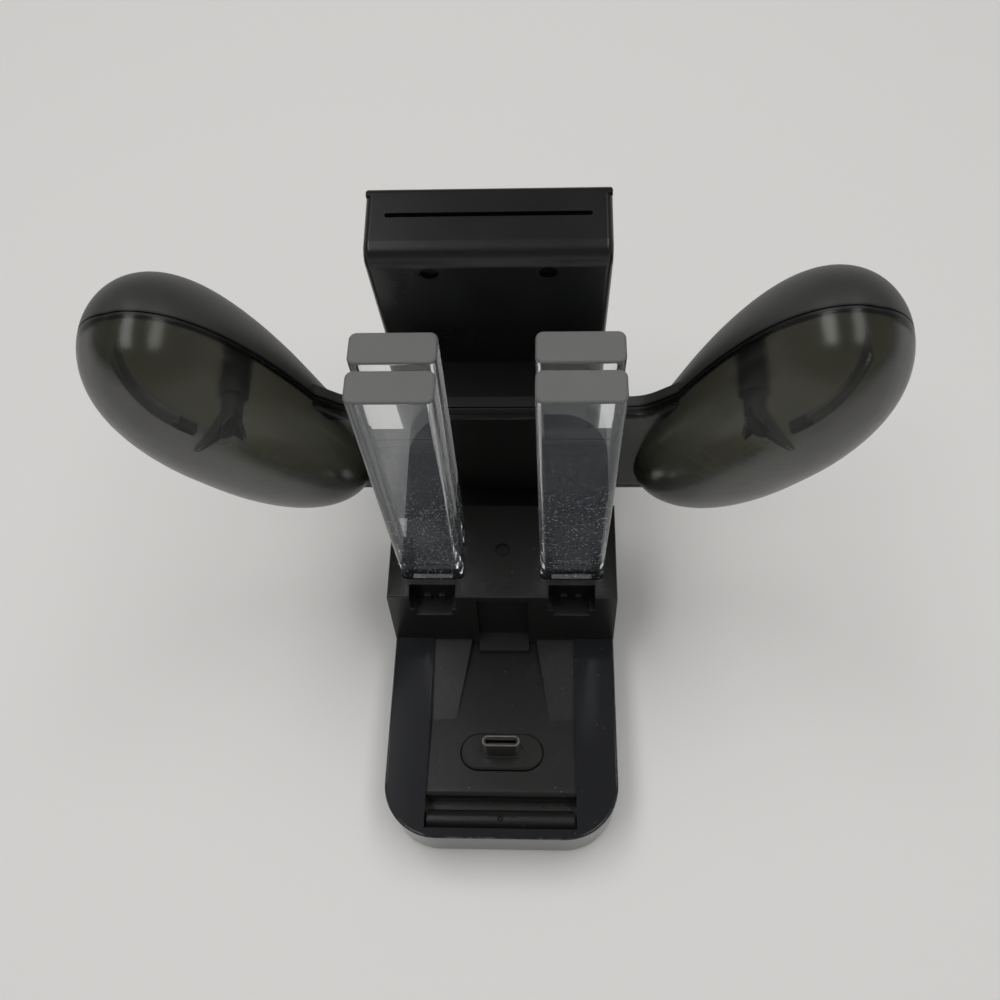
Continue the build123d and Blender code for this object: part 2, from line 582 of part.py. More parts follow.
# Tower shell: slanted front wall, flat deck with sockets for the columns, notches at both edges
FRONT_SLANT = (DECK_FRONT_Y - TOWER_FOOT_Y) / (DECK_HEIGHT - TRAY_BACK_HEIGHT)
TOWER_ROOF = DECK_HEIGHT - DECK_THICK
ROOF_FRONT_Y = DECK_FRONT_Y - DECK_THICK * FRONT_SLANT
LIP_FRONT_Y = DECK_FRONT_Y - RECESS_LIP * FRONT_SLANT
LIP_Z = DECK_HEIGHT - RECESS_LIP
with BuildPart() as tower_shell:
    with BuildSketch(Plane.YZ):
        Polygon(
            (TOWER_FOOT_Y, TRAY_BACK_HEIGHT), (DECK_REAR_Y, TRAY_BACK_HEIGHT),
            (DECK_REAR_Y, DECK_HEIGHT), (DECK_FRONT_Y, DECK_HEIGHT), align=None,
        )
    extrude(amount=DOCK_WIDTH / 2, both=True)
    fillet(tower_shell.edges().group_by(Axis.Z)[-1], radius=EDGE_ROUND)
    with BuildSketch(Plane.YZ):
        Polygon(
            (TOWER_FOOT_Y + TOWER_END_WALL, TRAY_BACK_HEIGHT),
            (DECK_REAR_Y - TOWER_END_WALL, TRAY_BACK_HEIGHT),
            (DECK_REAR_Y - TOWER_END_WALL, TOWER_ROOF),
            (ROOF_FRONT_Y + TOWER_END_WALL, TOWER_ROOF), align=None,
        )
    extrude(amount=TOWER_HALF, both=True, mode=Mode.SUBTRACT)
    # Shallow recess down the middle of the front wall, under a lip of the deck
    with BuildSketch(Plane.YZ):
        Polygon(
            (TOWER_FOOT_Y, TRAY_BACK_HEIGHT), (TOWER_FOOT_Y + RECESS_DEPTH, TRAY_BACK_HEIGHT),
            (LIP_FRONT_Y + RECESS_DEPTH, LIP_Z), (LIP_FRONT_Y, LIP_Z), align=None,
        )
    extrude(amount=STEP_WIDTH / 2, both=True, mode=Mode.SUBTRACT)
    # Ribs that carry the lamp board
    with BuildSketch(Plane.XY.offset(LAMP_BOARD_LOW)):
        with Locations((0, COLUMN_Y)):
            with GridLocations(2 * TOWER_HALF - BOARD_RIB_THICK, 0, 2, 1):
                Rectangle(BOARD_RIB_THICK, BOARD_RIB_LENGTH)
    extrude(amount=-BOARD_RIB_THICK)
    # Sockets for the columns, with a window for the lamp under each
    with BuildSketch(Plane.XY.offset(DECK_HEIGHT)):
        with Locations(*COLUMN_PLACES.values()):
            RectangleRounded(COLUMN_FOOT_WIDTH + 2 * FIT, COLUMN_DEPTH + 2 * FIT, COLUMN_CORNER)
    extrude(amount=-COLUMN_SOCKET, mode=Mode.SUBTRACT)
    with BuildSketch(Plane.XY.offset(DECK_HEIGHT)):
        with Locations(*COLUMN_PLACES.values()):
            Rectangle(LAMP_WINDOW_LENGTH, LAMP_WINDOW_WIDTH)
        with Locations((0, COLUMN_Y)):
            Circle(LENS_DIAMETER / 2 + FIT)
    extrude(amount=-DECK_THICK, mode=Mode.SUBTRACT)
    # Notches in the deck's edges, each with a narrower lower half
    for width, drop in ((NOTCH_WIDTH, NOTCH_DROP), (NOTCH_LOW_WIDTH, NOTCH_DROP + NOTCH_LEDGE)):
        with BuildSketch(Plane.XY.offset(DECK_HEIGHT)):
            with Locations((0, COLUMN_Y)):
                with GridLocations(COLUMN_SPACING, 2 * DECK_REACH, 2, 2):
                    Rectangle(width, 2 * NOTCH_DEPTH)
        extrude(amount=-drop, mode=Mode.SUBTRACT)

# Spring contacts on the back walls of the notches, low down
with BuildPart() as charge_contacts:
    with BuildSketch(Plane.XY.offset(NOTCH_FLOOR - NOTCH_LEDGE)):
        with Locations((0, COLUMN_Y)):
            with GridLocations(COLUMN_SPACING, 2 * (DECK_REACH - NOTCH_DEPTH) + CONTACT_THICK, 2, 2):
                with GridLocations(CONTACT_PITCH, 0, 2, 1):
                    Rectangle(CONTACT_WIDTH, CONTACT_THICK)
    extrude(amount=CONTACT_LENGTH)

with BuildPart() as lamp_board:
    with BuildSketch(Plane.XY.offset(LAMP_BOARD_LOW)):
        with Locations((0, COLUMN_Y)):
            Rectangle(2 * (TOWER_HALF - FIT), LAMP_BOARD_DEPTH)
    extrude(amount=BOARD_THICK)

with BuildPart() as column_lamps:
    with BuildSketch(Plane.XY.offset(LAMP_BOARD_TOP)):
        with Locations(*COLUMN_PLACES.values()):
            Rectangle(LAMP_SIZE, LAMP_SIZE)
    extrude(amount=LAMP_RISE)

with BuildPart() as indicator_lens:
    with BuildSketch(Plane.XY.offset(DECK_HEIGHT + LENS_RISE)):
        with Locations((0, COLUMN_Y)):
            Circle(LENS_DIAMETER / 2)
    extrude(amount=-LENS_LENGTH)
    chamfer(indicator_lens.edges().group_by(Axis.Z)[-1], length=LENS_RISE)


def column_half(x, y):
    """Clear hollow column half: a tapered cup that stands mouth down in its socket."""
    hollow_top = COLUMN_HEIGHT - COLUMN_CAP
    with BuildPart() as half:
        for z, width in ((0, COLUMN_FOOT_WIDTH), (COLUMN_HEIGHT, COLUMN_TOP_WIDTH)):
            with BuildSketch(Plane.XY.offset(COLUMN_FOOT_Z + z)):
                with Locations((x, y)):
                    RectangleRounded(width, COLUMN_DEPTH, COLUMN_CORNER)
        loft()
        fillet(half.faces().sort_by(Axis.Z)[-1].edges(), radius=COLUMN_EDGE)
        growth = (COLUMN_TOP_WIDTH - COLUMN_FOOT_WIDTH) * hollow_top / COLUMN_HEIGHT
        for z, width in ((0, COLUMN_FOOT_WIDTH), (hollow_top, COLUMN_FOOT_WIDTH + growth)):
            with BuildSketch(Plane.XY.offset(COLUMN_FOOT_Z + z)):
                with Locations((x, y)):
                    Rectangle(width - 2 * COLUMN_WALL, COLUMN_DEPTH - 2 * COLUMN_WALL)
        loft(mode=Mode.SUBTRACT)
    return half


columns = {f"column_{place}": column_half(x, y) for place, (x, y) in COLUMN_PLACES.items()}

# Plate cover of the grip's body, with the pad that the bridge is screwed to
with BuildPart() as grip_plate_cover:
    with BuildSketch(Plane.YZ):
        with BuildLine():
            FilletPolyline(
                (FACE_Y, 0), (0, 0), (0, BODY_HEIGHT), (FACE_Y, BODY_HEIGHT), radius=[BODY_EDGE, BODY_ROLL]
            )
            Line((FACE_Y, BODY_HEIGHT), (FACE_Y, 0))
        make_face()
    extrude(amount=BODY_WIDTH / 2, both=True)
    rear_edges = grip_plate_cover.faces().sort_by(Axis.Y)[-1].edges()
    side_faces = grip_plate_cover.faces().filter_by(Axis.X)
    fillet([e for e in side_faces.edges() if e not in rear_edges], radius=BODY_EDGE)
    # Hollow, open to the back
    with BuildSketch(Plane.XZ.offset(-FACE_Y)):
        with Locations((0, BODY_HEIGHT / 2)):
            Rectangle(BODY_WIDTH - 2 * BODY_SIDE_WALL, BODY_HEIGHT - 2 * BODY_WALL)
    extrude(amount=FACE_Y - BODY_WALL, mode=Mode.SUBTRACT)
    # Ribs under the board, and posts behind the two screw holes
    with BuildSketch(Plane.XZ.offset(-BODY_WALL)):
        with Locations((0, GRIP_RIB_LOW + GRIP_RIB_LENGTH / 2)):
            with GridLocations(GRIP_RIB_SPACING, 0, 2, 1):
                Rectangle(GRIP_RIB_THICK, GRIP_RIB_LENGTH)
    extrude(amount=BODY_WALL - GRIP_BOARD_Y)
    with BuildSketch(Plane.XZ.offset(-BODY_WALL)):
        with Locations((0, PLATE_HOLE_Z)):
            with GridLocations(PLATE_HOLE_SPACING, 0, 2, 1):
                Circle(PLATE_POST_DIAMETER / 2)
    extrude(amount=BODY_WALL - FACE_Y)
    with BuildSketch(Plane.XZ):
        with Locations((0, PLATE_HOLE_Z)):
            with GridLocations(PLATE_HOLE_SPACING, 0, 2, 1):
                Circle(PLATE_HOLE_DIAMETER / 2)
    extrude(amount=-PLATE_HOLE_DEPTH, mode=Mode.SUBTRACT)
    with BuildSketch(Plane.XZ):
        with Locations((0, PLATE_HOLE_Z)):
            with GridLocations(PLATE_HOLE_SPACING, 0, 2, 1):
                Circle(PLATE_SCREW_DIAMETER / 2)
    extrude(amount=-PLATE_HOLE_DEPTH - PLATE_SCREW_REACH, mode=Mode.SUBTRACT)
    # Pad under the bridge
    with BuildSketch(Plane.XZ.offset(-BODY_WALL)):
        with Locations((0, (BRIDGE_LOW + BRIDGE_HIGH) / 2)):
            Rectangle(PAD_WIDTH, BRIDGE_HIGH - BRIDGE_LOW - 2 * PAD_MARGIN)
    extrude(amount=BODY_WALL + BRIDGE_REAR_REACH)
    # Thin slot along the top end
    with BuildSketch(Plane.XY.offset(BODY_HEIGHT)):
        with Locations((0, TOP_SLOT_BEHIND)):
            SlotOverall(TOP_SLOT_LENGTH, TOP_SLOT_WIDTH)
    extrude(amount=-TOP_SLOT_DEPTH, mode=Mode.SUBTRACT)
    # Grooves in the sides for the rails, and the mouth of the port
    with BuildSketch():
        with Locations((0, PORT_Y)):
            with GridLocations(BODY_WIDTH - RAIL_DEPTH, 0, 2, 1):
                Rectangle(RAIL_DEPTH, RAIL_WIDTH)
    extrude(amount=RAIL_LENGTH, mode=Mode.SUBTRACT)
    with BuildSketch():
        with Locations((0, PORT_Y)):
            SlotOverall(PORT_LENGTH + 2 * FIT, PORT_WIDTH + 2 * FIT)
    extrude(amount=BODY_WALL, mode=Mode.SUBTRACT)

with BuildPart() as grip_face_cover:
    with BuildSketch(Plane.XZ.offset(-FACE_Y)):
        with Locations((0, BODY_HEIGHT / 2)):
            Rectangle(BODY_WIDTH, BODY_HEIGHT)
    extrude(amount=-FACE_THICK)
    fillet(grip_face_cover.faces().sort_by(Axis.Y)[-1].edges(), radius=BODY_EDGE)
    with BuildSketch(Plane.XZ.offset(-BODY_DEPTH)):
        with Locations((0, BODY_HEIGHT / 2)):
            Rectangle(BODY_WIDTH - 2 * FACE_PANEL_INSET, BODY_HEIGHT - 2 * FACE_PANEL_INSET)
    extrude(amount=FACE_PANEL_STEP, mode=Mode.SUBTRACT)


def grip_rail(side):
    """Channel rail in one side of the grip's body, on the left for -1 and the right for 1."""
    outer_x = side * BODY_WIDTH / 2
    with BuildPart() as rail:
        with BuildSketch():
            with Locations((outer_x - side * RAIL_DEPTH / 2, PORT_Y)):
                Rectangle(RAIL_DEPTH - 2 * CLOSE_FIT, RAIL_WIDTH - 2 * CLOSE_FIT)
            with Locations((outer_x - side * (RAIL_DEPTH - RAIL_BACK) / 2, PORT_Y)):
                Rectangle(RAIL_DEPTH - RAIL_BACK, RAIL_MOUTH, mode=Mode.SUBTRACT)
            with Locations((outer_x - side * (RAIL_DEPTH - RAIL_BACK + RAIL_LIP) / 2, PORT_Y)):
                Rectangle(RAIL_DEPTH - RAIL_BACK - RAIL_LIP, RAIL_UNDERCUT, mode=Mode.SUBTRACT)
        extrude(amount=RAIL_LENGTH - CLOSE_FIT)
    return rail


grip_rail_left = grip_rail(-1)
grip_rail_right = grip_rail(1)

with BuildPart() as grip_board:
    with BuildSketch(Plane.XZ.offset(-GRIP_BOARD_Y)):
        with Locations((0, GRIP_BOARD_RISE + GRIP_BOARD_LENGTH / 2)):
            Rectangle(GRIP_BOARD_WIDTH, GRIP_BOARD_LENGTH)
    extrude(amount=-BOARD_THICK)

PORT_MOUTH = Plane(origin=(0, PORT_Y, 0), x_dir=(1, 0, 0), z_dir=(0, 0, -1))
grip_port = socket_shell(PORT_MOUTH, PORT_LENGTH, PORT_WIDTH, PORT_WALL, PORT_DEPTH)

with BuildPart() as plate_screws:
    with BuildSketch(Plane.XZ.offset(-PLATE_HOLE_DEPTH)):
        with Locations((0, PLATE_HOLE_Z)):
            with GridLocations(PLATE_HOLE_SPACING, 0, 2, 1):
                Circle(PLATE_SCREW_HEAD / 2)
    extrude(amount=PLATE_SCREW_HEAD_RISE)
    with BuildSketch(Plane.XZ.offset(-PLATE_HOLE_DEPTH)):
        with Locations((0, PLATE_HOLE_Z)):
            with GridLocations(PLATE_HOLE_SPACING, 0, 2, 1):
                Circle(PLATE_SCREW_DIAMETER / 2 - CLOSE_FIT)
    extrude(amount=-PLATE_SCREW_REACH)


def handle_section(centre, half_width, to_tray, to_back):
    """Section square to the handle's axis: two half ellipses that meet in the parting plane."""
    with BuildSketch(Plane(origin=centre, x_dir=HANDLE_SIDE, z_dir=HANDLE_AXIS)) as section:
        with BuildLine():
            EllipticalCenterArc((0, 0), half_width, to_back, start_angle=0, arc_size=180)
            EllipticalCenterArc((0, 0), half_width, to_tray, start_angle=180, arc_size=180)
        make_face()
    return section.sketch


def handle(inset):
    """Right handle as one egg-shaped solid, drawn in all round by inset."""
    reach = HANDLE_LENGTH / 2 - inset
    sections = []
    for share in HANDLE_SHARES:
        swell = (1 - abs(share) ** HANDLE_FULLNESS) ** (1 / HANDLE_FULLNESS)
        to_tray = HANDLE_TRAY_DEPTH + HANDLE_TRAY_SWELL * share - inset
        to_back = HANDLE_BACK_DEPTH + HANDLE_BACK_SWELL * share - inset
        sections.append(
            handle_section(
                HANDLE_MID + HANDLE_AXIS * reach * share,
                (HANDLE_HALF_WIDTH - inset) * swell,
                to_tray * swell,
                to_back * swell,
            )
        )
    root_end = Vertex(*(HANDLE_MID - HANDLE_AXIS * reach))
    tip_end = Vertex(*(HANDLE_MID + HANDLE_AXIS * reach))
    with BuildPart() as egg:
        loft(sections=[root_end, *sections, tip_end])
    return egg.part


# Outer form of both handles and the bridge
with BuildPart() as handles_outer:
    with BuildSketch(Plane.XZ.offset(BRIDGE_REAR_REACH)) as bridge_outline:
        Polygon(
            (0, BRIDGE_LOW), (BRIDGE_FOOT, BRIDGE_LOW), (BRIDGE_END, BRIDGE_END_LOW),
            (BRIDGE_END, BRIDGE_HIGH + FLARE_RISE), (FLARE_END, BRIDGE_HIGH + FLARE_RISE),
            (FLARE_START, BRIDGE_HIGH), (0, BRIDGE_HIGH), align=None,
        )
        mirror(about=Plane.YZ)
        flares = bridge_outline.vertices().filter_by(
            lambda v: abs(abs(v.X) - FLARE_START) < CLOSE_FIT
        )
        fillet(flares, radius=FLARE_ROUND)
    extrude(amount=BRIDGE_FRONT_REACH - BRIDGE_REAR_REACH)
    fillet(handles_outer.faces().sort_by(Axis.Y)[0].edges(), radius=BRIDGE_EDGE)
    add(handle(0))
    mirror(handle(0), about=Plane.YZ)

# Hollow inside the handles and the bridge
with BuildPart() as handles_inner:
    with BuildSketch(Plane.XZ.offset(BRIDGE_REAR_REACH + BRIDGE_WALL)):
        with Locations((0, (BRIDGE_LOW + BRIDGE_HIGH) / 2)):
            Rectangle(2 * BRIDGE_FOOT, BRIDGE_HIGH - BRIDGE_LOW - 2 * BRIDGE_RIM)
    extrude(amount=BRIDGE_FRONT_REACH - BRIDGE_REAR_REACH - 2 * BRIDGE_WALL)
    add(handle(HANDLE_WALL))
    mirror(handle(HANDLE_WALL), about=Plane.YZ)

HANDLE_POSTS = [(-HANDLE_POST_X, HANDLE_POST_Z), (HANDLE_POST_X, HANDLE_POST_Z)]
POST_START = Plane.XZ.offset(-BODY_DEPTH)

# Opaque front shell, with a screw post in each handle that reaches towards the tray
with BuildPart() as front_posts:
    with BuildSketch(POST_START):
        with Locations(*HANDLE_POSTS):
            Circle(HANDLE_POST_DIAMETER / 2)
    extrude(amount=BODY_DEPTH + HANDLE_POST_REACH)
    add(handles_outer.part, mode=Mode.INTERSECT)

with BuildPart() as grip_front_shell:
    add(handles_outer.part)
    add(handles_inner.part, mode=Mode.SUBTRACT)
    split(bisect_by=Plane.XZ.offset(PARTING_REACH - PARTING_GAP / 2), keep=Keep.BOTTOM)
    add(front_posts.part)
    with BuildSketch(POST_START):
        with Locations(*HANDLE_POSTS):
            Circle(HANDLE_SCREW_HEAD / 2 + FIT)
    extrude(amount=BODY_DEPTH + HANDLE_SCREW_SEAT, mode=Mode.SUBTRACT)
    with BuildSketch(POST_START):
        with Locations(*HANDLE_POSTS):
            Circle(HANDLE_SCREW_DIAMETER / 2 + CLOSE_FIT)
    extrude(amount=BODY_DEPTH + HANDLE_POST_REACH, mode=Mode.SUBTRACT)

# Slim rib that stands on the inner wall of each handle near its tip
with BuildPart() as spine_ribs:
    with BuildSketch(Plane.XZ.offset(PARTING_REACH)):
        with Locations((SPINE_RIB_X, SPINE_RIB_Z)):
            Rectangle(POST_RIB_THICK, SPINE_RIB_LENGTH, rotation=-SPINE_RIB_TURN)
    extrude(amount=HANDLE_LENGTH)
    add(handle(HANDLE_WALL / 2), mode=Mode.INTERSECT)
    add(handle(HANDLE_WALL + SPINE_RIB_RISE), mode=Mode.SUBTRACT)
    mirror(about=Plane.YZ)

# Short back posts, each with splayed ribs round its foot
with BuildPart() as back_ribs:
    with BuildSketch(Plane.XZ.offset(BACK_POST_REACH)):
        with Locations((HANDLE_POST_X, HANDLE_POST_Z)):
            Circle(BACK_POST_DIAMETER / 2)
    extrude(amount=BODY_DEPTH)
    for turn in POST_RIB_TURNS:
        across, up = cos(radians(turn)), sin(radians(turn))
        fin = Plane(
            origin=(HANDLE_POST_X, -BACK_POST_REACH, HANDLE_POST_Z),
            x_dir=(across, 0, up),
            z_dir=(up, 0, -across),
        )
        with BuildSketch(fin):
            Polygon((0, 0), (POST_RIB_SPLAY, POST_RIB_DROP), (0, POST_RIB_DROP), align=None)
        extrude(amount=POST_RIB_THICK / 2, both=True)
    mirror(about=Plane.YZ)
    add(handles_outer.part, mode=Mode.INTERSECT)

# Smoke-clear back shell of the handles and the bridge
with BuildPart() as grip_back_shell:
    add(handles_outer.part)
    add(handles_inner.part, mode=Mode.SUBTRACT)
    split(bisect_by=Plane.XZ.offset(PARTING_REACH + PARTING_GAP / 2), keep=Keep.TOP)
    add(back_ribs.part)
    add(spine_ribs.part)
    with BuildSketch(Plane.XZ.offset(BACK_POST_REACH)):
        with Locations(*HANDLE_POSTS):
            Circle(HANDLE_SCREW_DIAMETER / 2 + CLOSE_FIT)
    extrude(amount=HANDLE_SCREW_PILOT, mode=Mode.SUBTRACT)

with BuildPart() as handle_screws:
    with BuildSketch(Plane.XZ.offset(HANDLE_SCREW_SEAT)):
        with Locations(*HANDLE_POSTS):
            Circle(HANDLE_SCREW_HEAD / 2)
    extrude(amount=-HANDLE_SCREW_HEAD_RISE)
    with BuildSketch(Plane.XZ.offset(HANDLE_SCREW_SEAT)):
        with Locations(*HANDLE_POSTS):
            Circle(HANDLE_SCREW_DIAMETER / 2)
    extrude(amount=HANDLE_SCREW_LENGTH)

# One file for each piece; the grip's pieces are set down leaning in their seat
dock_pieces = {
    "base_shell": base_shell,
    "bottom_cover": bottom_cover,
    "rubber_feet": rubber_feet,
    "bottom_screws": bottom_screws,
    "main_board": main_board,
    "power_inlet": power_inlet,
    "plug_carrier": plug_carrier,
    "plug_board": plug_board,
    "tray_plug_shell": tray_plug_shell,
    "tray_plug_insert": tray_plug_insert,
    "cradle_plug_shell": cradle_plug_shell,
    "cradle_plug_insert": cradle_plug_insert,
    "tower_shell": tower_shell,
    "charge_contacts": charge_contacts,
    "lamp_board": lamp_board,
    "column_lamps": column_lamps,
    "indicator_lens": indicator_lens,
    **columns,
}
grip_pieces = {
    "grip_plate_cover": grip_plate_cover,
    "grip_face_cover": grip_face_cover,
    "grip_rail_left": grip_rail_left,
    "grip_rail_right": grip_rail_right,
    "grip_board": grip_board,
    "grip_port": grip_port,
    "plate_screws": plate_screws,
    "grip_front_shell": grip_front_shell,
    "grip_back_shell": grip_back_shell,
    "handle_screws": handle_screws,
}
os.makedirs("parts", exist_ok=True)
for name, piece in dock_pieces.items():
    piece.part.label = name
    export_step(piece.part, f"parts/{name}.step")
for name, piece in grip_pieces.items():
    seated = piece.part.moved(GRIP_SEAT.location)
    seated.label = name
    export_step(seated, f"parts/{name}.step")
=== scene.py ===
from math import pi, radians

import bmesh
import bpy
from mathutils import Matrix, Vector


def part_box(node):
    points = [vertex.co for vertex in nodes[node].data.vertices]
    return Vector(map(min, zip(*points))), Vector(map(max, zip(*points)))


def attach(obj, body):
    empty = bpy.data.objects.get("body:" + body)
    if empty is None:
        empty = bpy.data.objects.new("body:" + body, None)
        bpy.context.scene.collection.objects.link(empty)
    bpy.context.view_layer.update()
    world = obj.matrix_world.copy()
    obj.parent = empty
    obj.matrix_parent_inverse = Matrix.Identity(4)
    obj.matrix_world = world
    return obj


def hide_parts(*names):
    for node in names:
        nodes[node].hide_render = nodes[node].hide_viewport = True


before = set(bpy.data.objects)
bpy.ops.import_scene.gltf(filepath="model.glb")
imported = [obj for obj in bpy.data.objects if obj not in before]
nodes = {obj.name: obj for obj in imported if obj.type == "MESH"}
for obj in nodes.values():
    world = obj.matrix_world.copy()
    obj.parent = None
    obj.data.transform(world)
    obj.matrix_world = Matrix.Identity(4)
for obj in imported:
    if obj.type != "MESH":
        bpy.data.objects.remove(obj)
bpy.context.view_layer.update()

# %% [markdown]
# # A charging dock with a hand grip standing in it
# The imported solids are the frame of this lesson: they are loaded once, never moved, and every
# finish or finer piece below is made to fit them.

print("pieces in the frame:", len(nodes))

# %% [markdown]
# ## Camera
# The dock is seen from above its front edge, close up, so the near tray looks large and the
# columns spread towards the top. The place and the three directions of the camera were worked out
# from the straight edges of the dock. A lens as long as its sensor is wide gives the right spread.

# %% Camera
MM = 0.001
eye = bpy.data.cameras.new("eye")
eye.lens = 36.0
eye.sensor_width = 36.0
eye.clip_start = 0.01
camera = bpy.data.objects.new("camera", eye)
bpy.context.scene.collection.objects.link(camera)
right = Vector((0.999, 0.0211, -0.0404)).normalized()
back = Vector((0.0456, -0.4570, 0.8883)).normalized()
up = back.cross(right).normalized()
right = up.cross(back)
turn = Matrix((right, up, back)).transposed().to_4x4()
camera.matrix_world = Matrix.Translation(Vector((9.9, -89.6, 242.0)) * MM) @ turn
bpy.context.scene.camera = camera
print("camera looks along", tuple(round(-c, 3) for c in back))

# %% [markdown]
# ## Helpers for finishes
# Colours are written as they look on a screen and turned into light values by one function. One
# small function adds a shader node with its settings and links. Pattern sizes are given in real
# millimetres: a pattern on Object coordinates counts in metres, so its scale is one over its size.

# %% Helpers


def colour(code):
    """Screen colour, such as 38383A, as linear light."""
    parts = [int(code[i:i + 2], 16) / 255 for i in (0, 2, 4)]
    return (*(c / 12.92 if c <= 0.04045 else ((c + 0.055) / 1.055) ** 2.4 for c in parts), 1.0)


def per(size):
    """Scale of a pattern whose features are size millimetres apart."""
    return 1.0 / (size * MM)


def node(tree, kind, settings=None, inputs=None):
    """Adds a node, sets it up and links what is given as another node's output."""
    made = tree.nodes.new(kind)
    for name, value in (settings or {}).items():
        setattr(made, name, value)
    for name, value in (inputs or {}).items():
        if isinstance(value, bpy.types.NodeSocket):
            tree.links.new(value, made.inputs[name])
        else:
            made.inputs[name].default_value = value
    return made


def finish(name):
    """New material with an empty tree, its output and the place on the piece in metres."""
    made = bpy.data.materials.new(name)
    made.use_nodes = True
    made.node_tree.nodes.clear()
    out = made.node_tree.nodes.new("ShaderNodeOutputMaterial")
    place = made.node_tree.nodes.new("ShaderNodeTexCoord").outputs["Object"]
    return made, made.node_tree, out, place


def dress(material, *names):
    """Gives a finish to pieces of the frame."""
    for name in names:
        mesh = nodes[name].data
        mesh.materials.clear()
        mesh.materials.append(material)
    print(material.name, "on", ", ".join(names))


# %% [markdown]
# ## Charcoal ABS, moulded in a part polished, part eroded tool
# The tray's flat sides and the walls round it came off polished steel, so they mirror the columns
# faintly. The sloped panel in the middle and the tower came off spark-eroded steel: a fine
# grain breaks their sheen and leaves a soft, slightly warmer grey. Dust lies on both.

# %% Charcoal: where the tool was polished
PANEL_HALF = 16.7 * MM
GROOVE_FRONT = -53.7 * MM
TOWER_FOOT = -9.6 * MM
BLEND = 0.1 * MM
charcoal, tree, out, place = finish("abs_moulded_charcoal")
apart = node(tree, "ShaderNodeSeparateXYZ", inputs={0: place})
off_axis = node(tree, "ShaderNodeMath", {"operation": "ABSOLUTE"}, {0: apart.outputs["X"]})
beside = node(
    tree, "ShaderNodeMapRange",
    inputs={0: off_axis.outputs[0], 1: PANEL_HALF - BLEND, 2: PANEL_HALF + BLEND},
)
before = node(
    tree, "ShaderNodeMapRange",
    inputs={0: apart.outputs["Y"], 1: GROOVE_FRONT + BLEND, 2: GROOVE_FRONT - BLEND},
)
in_tray = node(
    tree, "ShaderNodeMapRange",
    inputs={0: apart.outputs["Y"], 1: TOWER_FOOT + 2 * BLEND, 2: TOWER_FOOT - 2 * BLEND},
)
flat = node(
    tree, "ShaderNodeMath", {"operation": "MAXIMUM"}, {0: beside.outputs[0], 1: before.outputs[0]}
)
polished = node(
    tree, "ShaderNodeMath", {"operation": "MULTIPLY"}, {0: flat.outputs[0], 1: in_tray.outputs[0]}
)
print("the eroded panel is", round(2 * PANEL_HALF / MM, 1), "mm wide")

# %% Charcoal: tones
# The real grain is finer than a tenth of a millimetre, too fine to show, so it is drawn coarser.
DUST_APART = 3.2
cloud = node(tree, "ShaderNodeTexNoise", inputs={"Vector": place, "Scale": per(14), "Detail": 3.0})
grain = node(tree, "ShaderNodeTexNoise", inputs={"Vector": place, "Scale": per(0.4), "Detail": 2.0})
dust = node(tree, "ShaderNodeTexVoronoi", inputs={"Vector": place, "Scale": per(DUST_APART)})
specks = node(
    tree, "ShaderNodeMapRange", inputs={0: dust.outputs["Distance"], 1: 0.06, 2: 0.03, 4: 0.35}
)
eroded = node(
    tree, "ShaderNodeMix", {"data_type": "RGBA"},
    {0: cloud.outputs["Fac"], 6: colour("1A1919"), 7: colour("222120")},
)
smooth = node(
    tree, "ShaderNodeMix", {"data_type": "RGBA"},
    {0: cloud.outputs["Fac"], 6: colour("17181B"), 7: colour("1E1F22")},
)
tone = node(
    tree, "ShaderNodeMix", {"data_type": "RGBA"},
    {0: polished.outputs[0], 6: eroded.outputs[2], 7: smooth.outputs[2]},
)
print("charcoal has", len(tree.nodes), "nodes so far")

# %% Charcoal: rubbed edges with a painted highlight, and dust
facing = node(
    tree, "ShaderNodeSeparateXYZ",
    inputs={0: node(tree, "ShaderNodeNewGeometry").outputs["True Normal"]},
)
# Sloping faces, such as rounded edges, are painted lighter in patches: partly wear, partly a painted
# highlight where they turn up towards the light.
rising = node(tree, "ShaderNodeMapRange", inputs={0: facing.outputs["Z"], 1: 0.3, 2: 0.45})
levelling = node(tree, "ShaderNodeMapRange", inputs={0: facing.outputs["Z"], 1: 0.97, 2: 0.9})
rounded = node(
    tree, "ShaderNodeMath", {"operation": "MULTIPLY"}, {0: rising.outputs[0], 1: levelling.outputs[0]}
)
rubbed = node(tree, "ShaderNodeTexNoise", inputs={"Vector": place, "Scale": per(1.2), "Detail": 5.0})
patchy = node(tree, "ShaderNodeMapRange", inputs={0: rubbed.outputs["Fac"], 1: 0.5, 2: 0.62, 4: 0.3})
outer = node(
    tree, "ShaderNodeMath", {"operation": "MULTIPLY"}, {0: rounded.outputs[0], 1: polished.outputs[0]}
)
worn_and_highlit = node(
    tree, "ShaderNodeMath", {"operation": "MULTIPLY"}, {0: outer.outputs[0], 1: patchy.outputs[0]}
)
dust_wear_and_highlight = node(
    tree, "ShaderNodeMath", {"operation": "MAXIMUM"}, {0: worn_and_highlit.outputs[0], 1: specks.outputs[0]}
)
print("edges are rubbed where they slope, dust lies", DUST_APART, "mm apart")
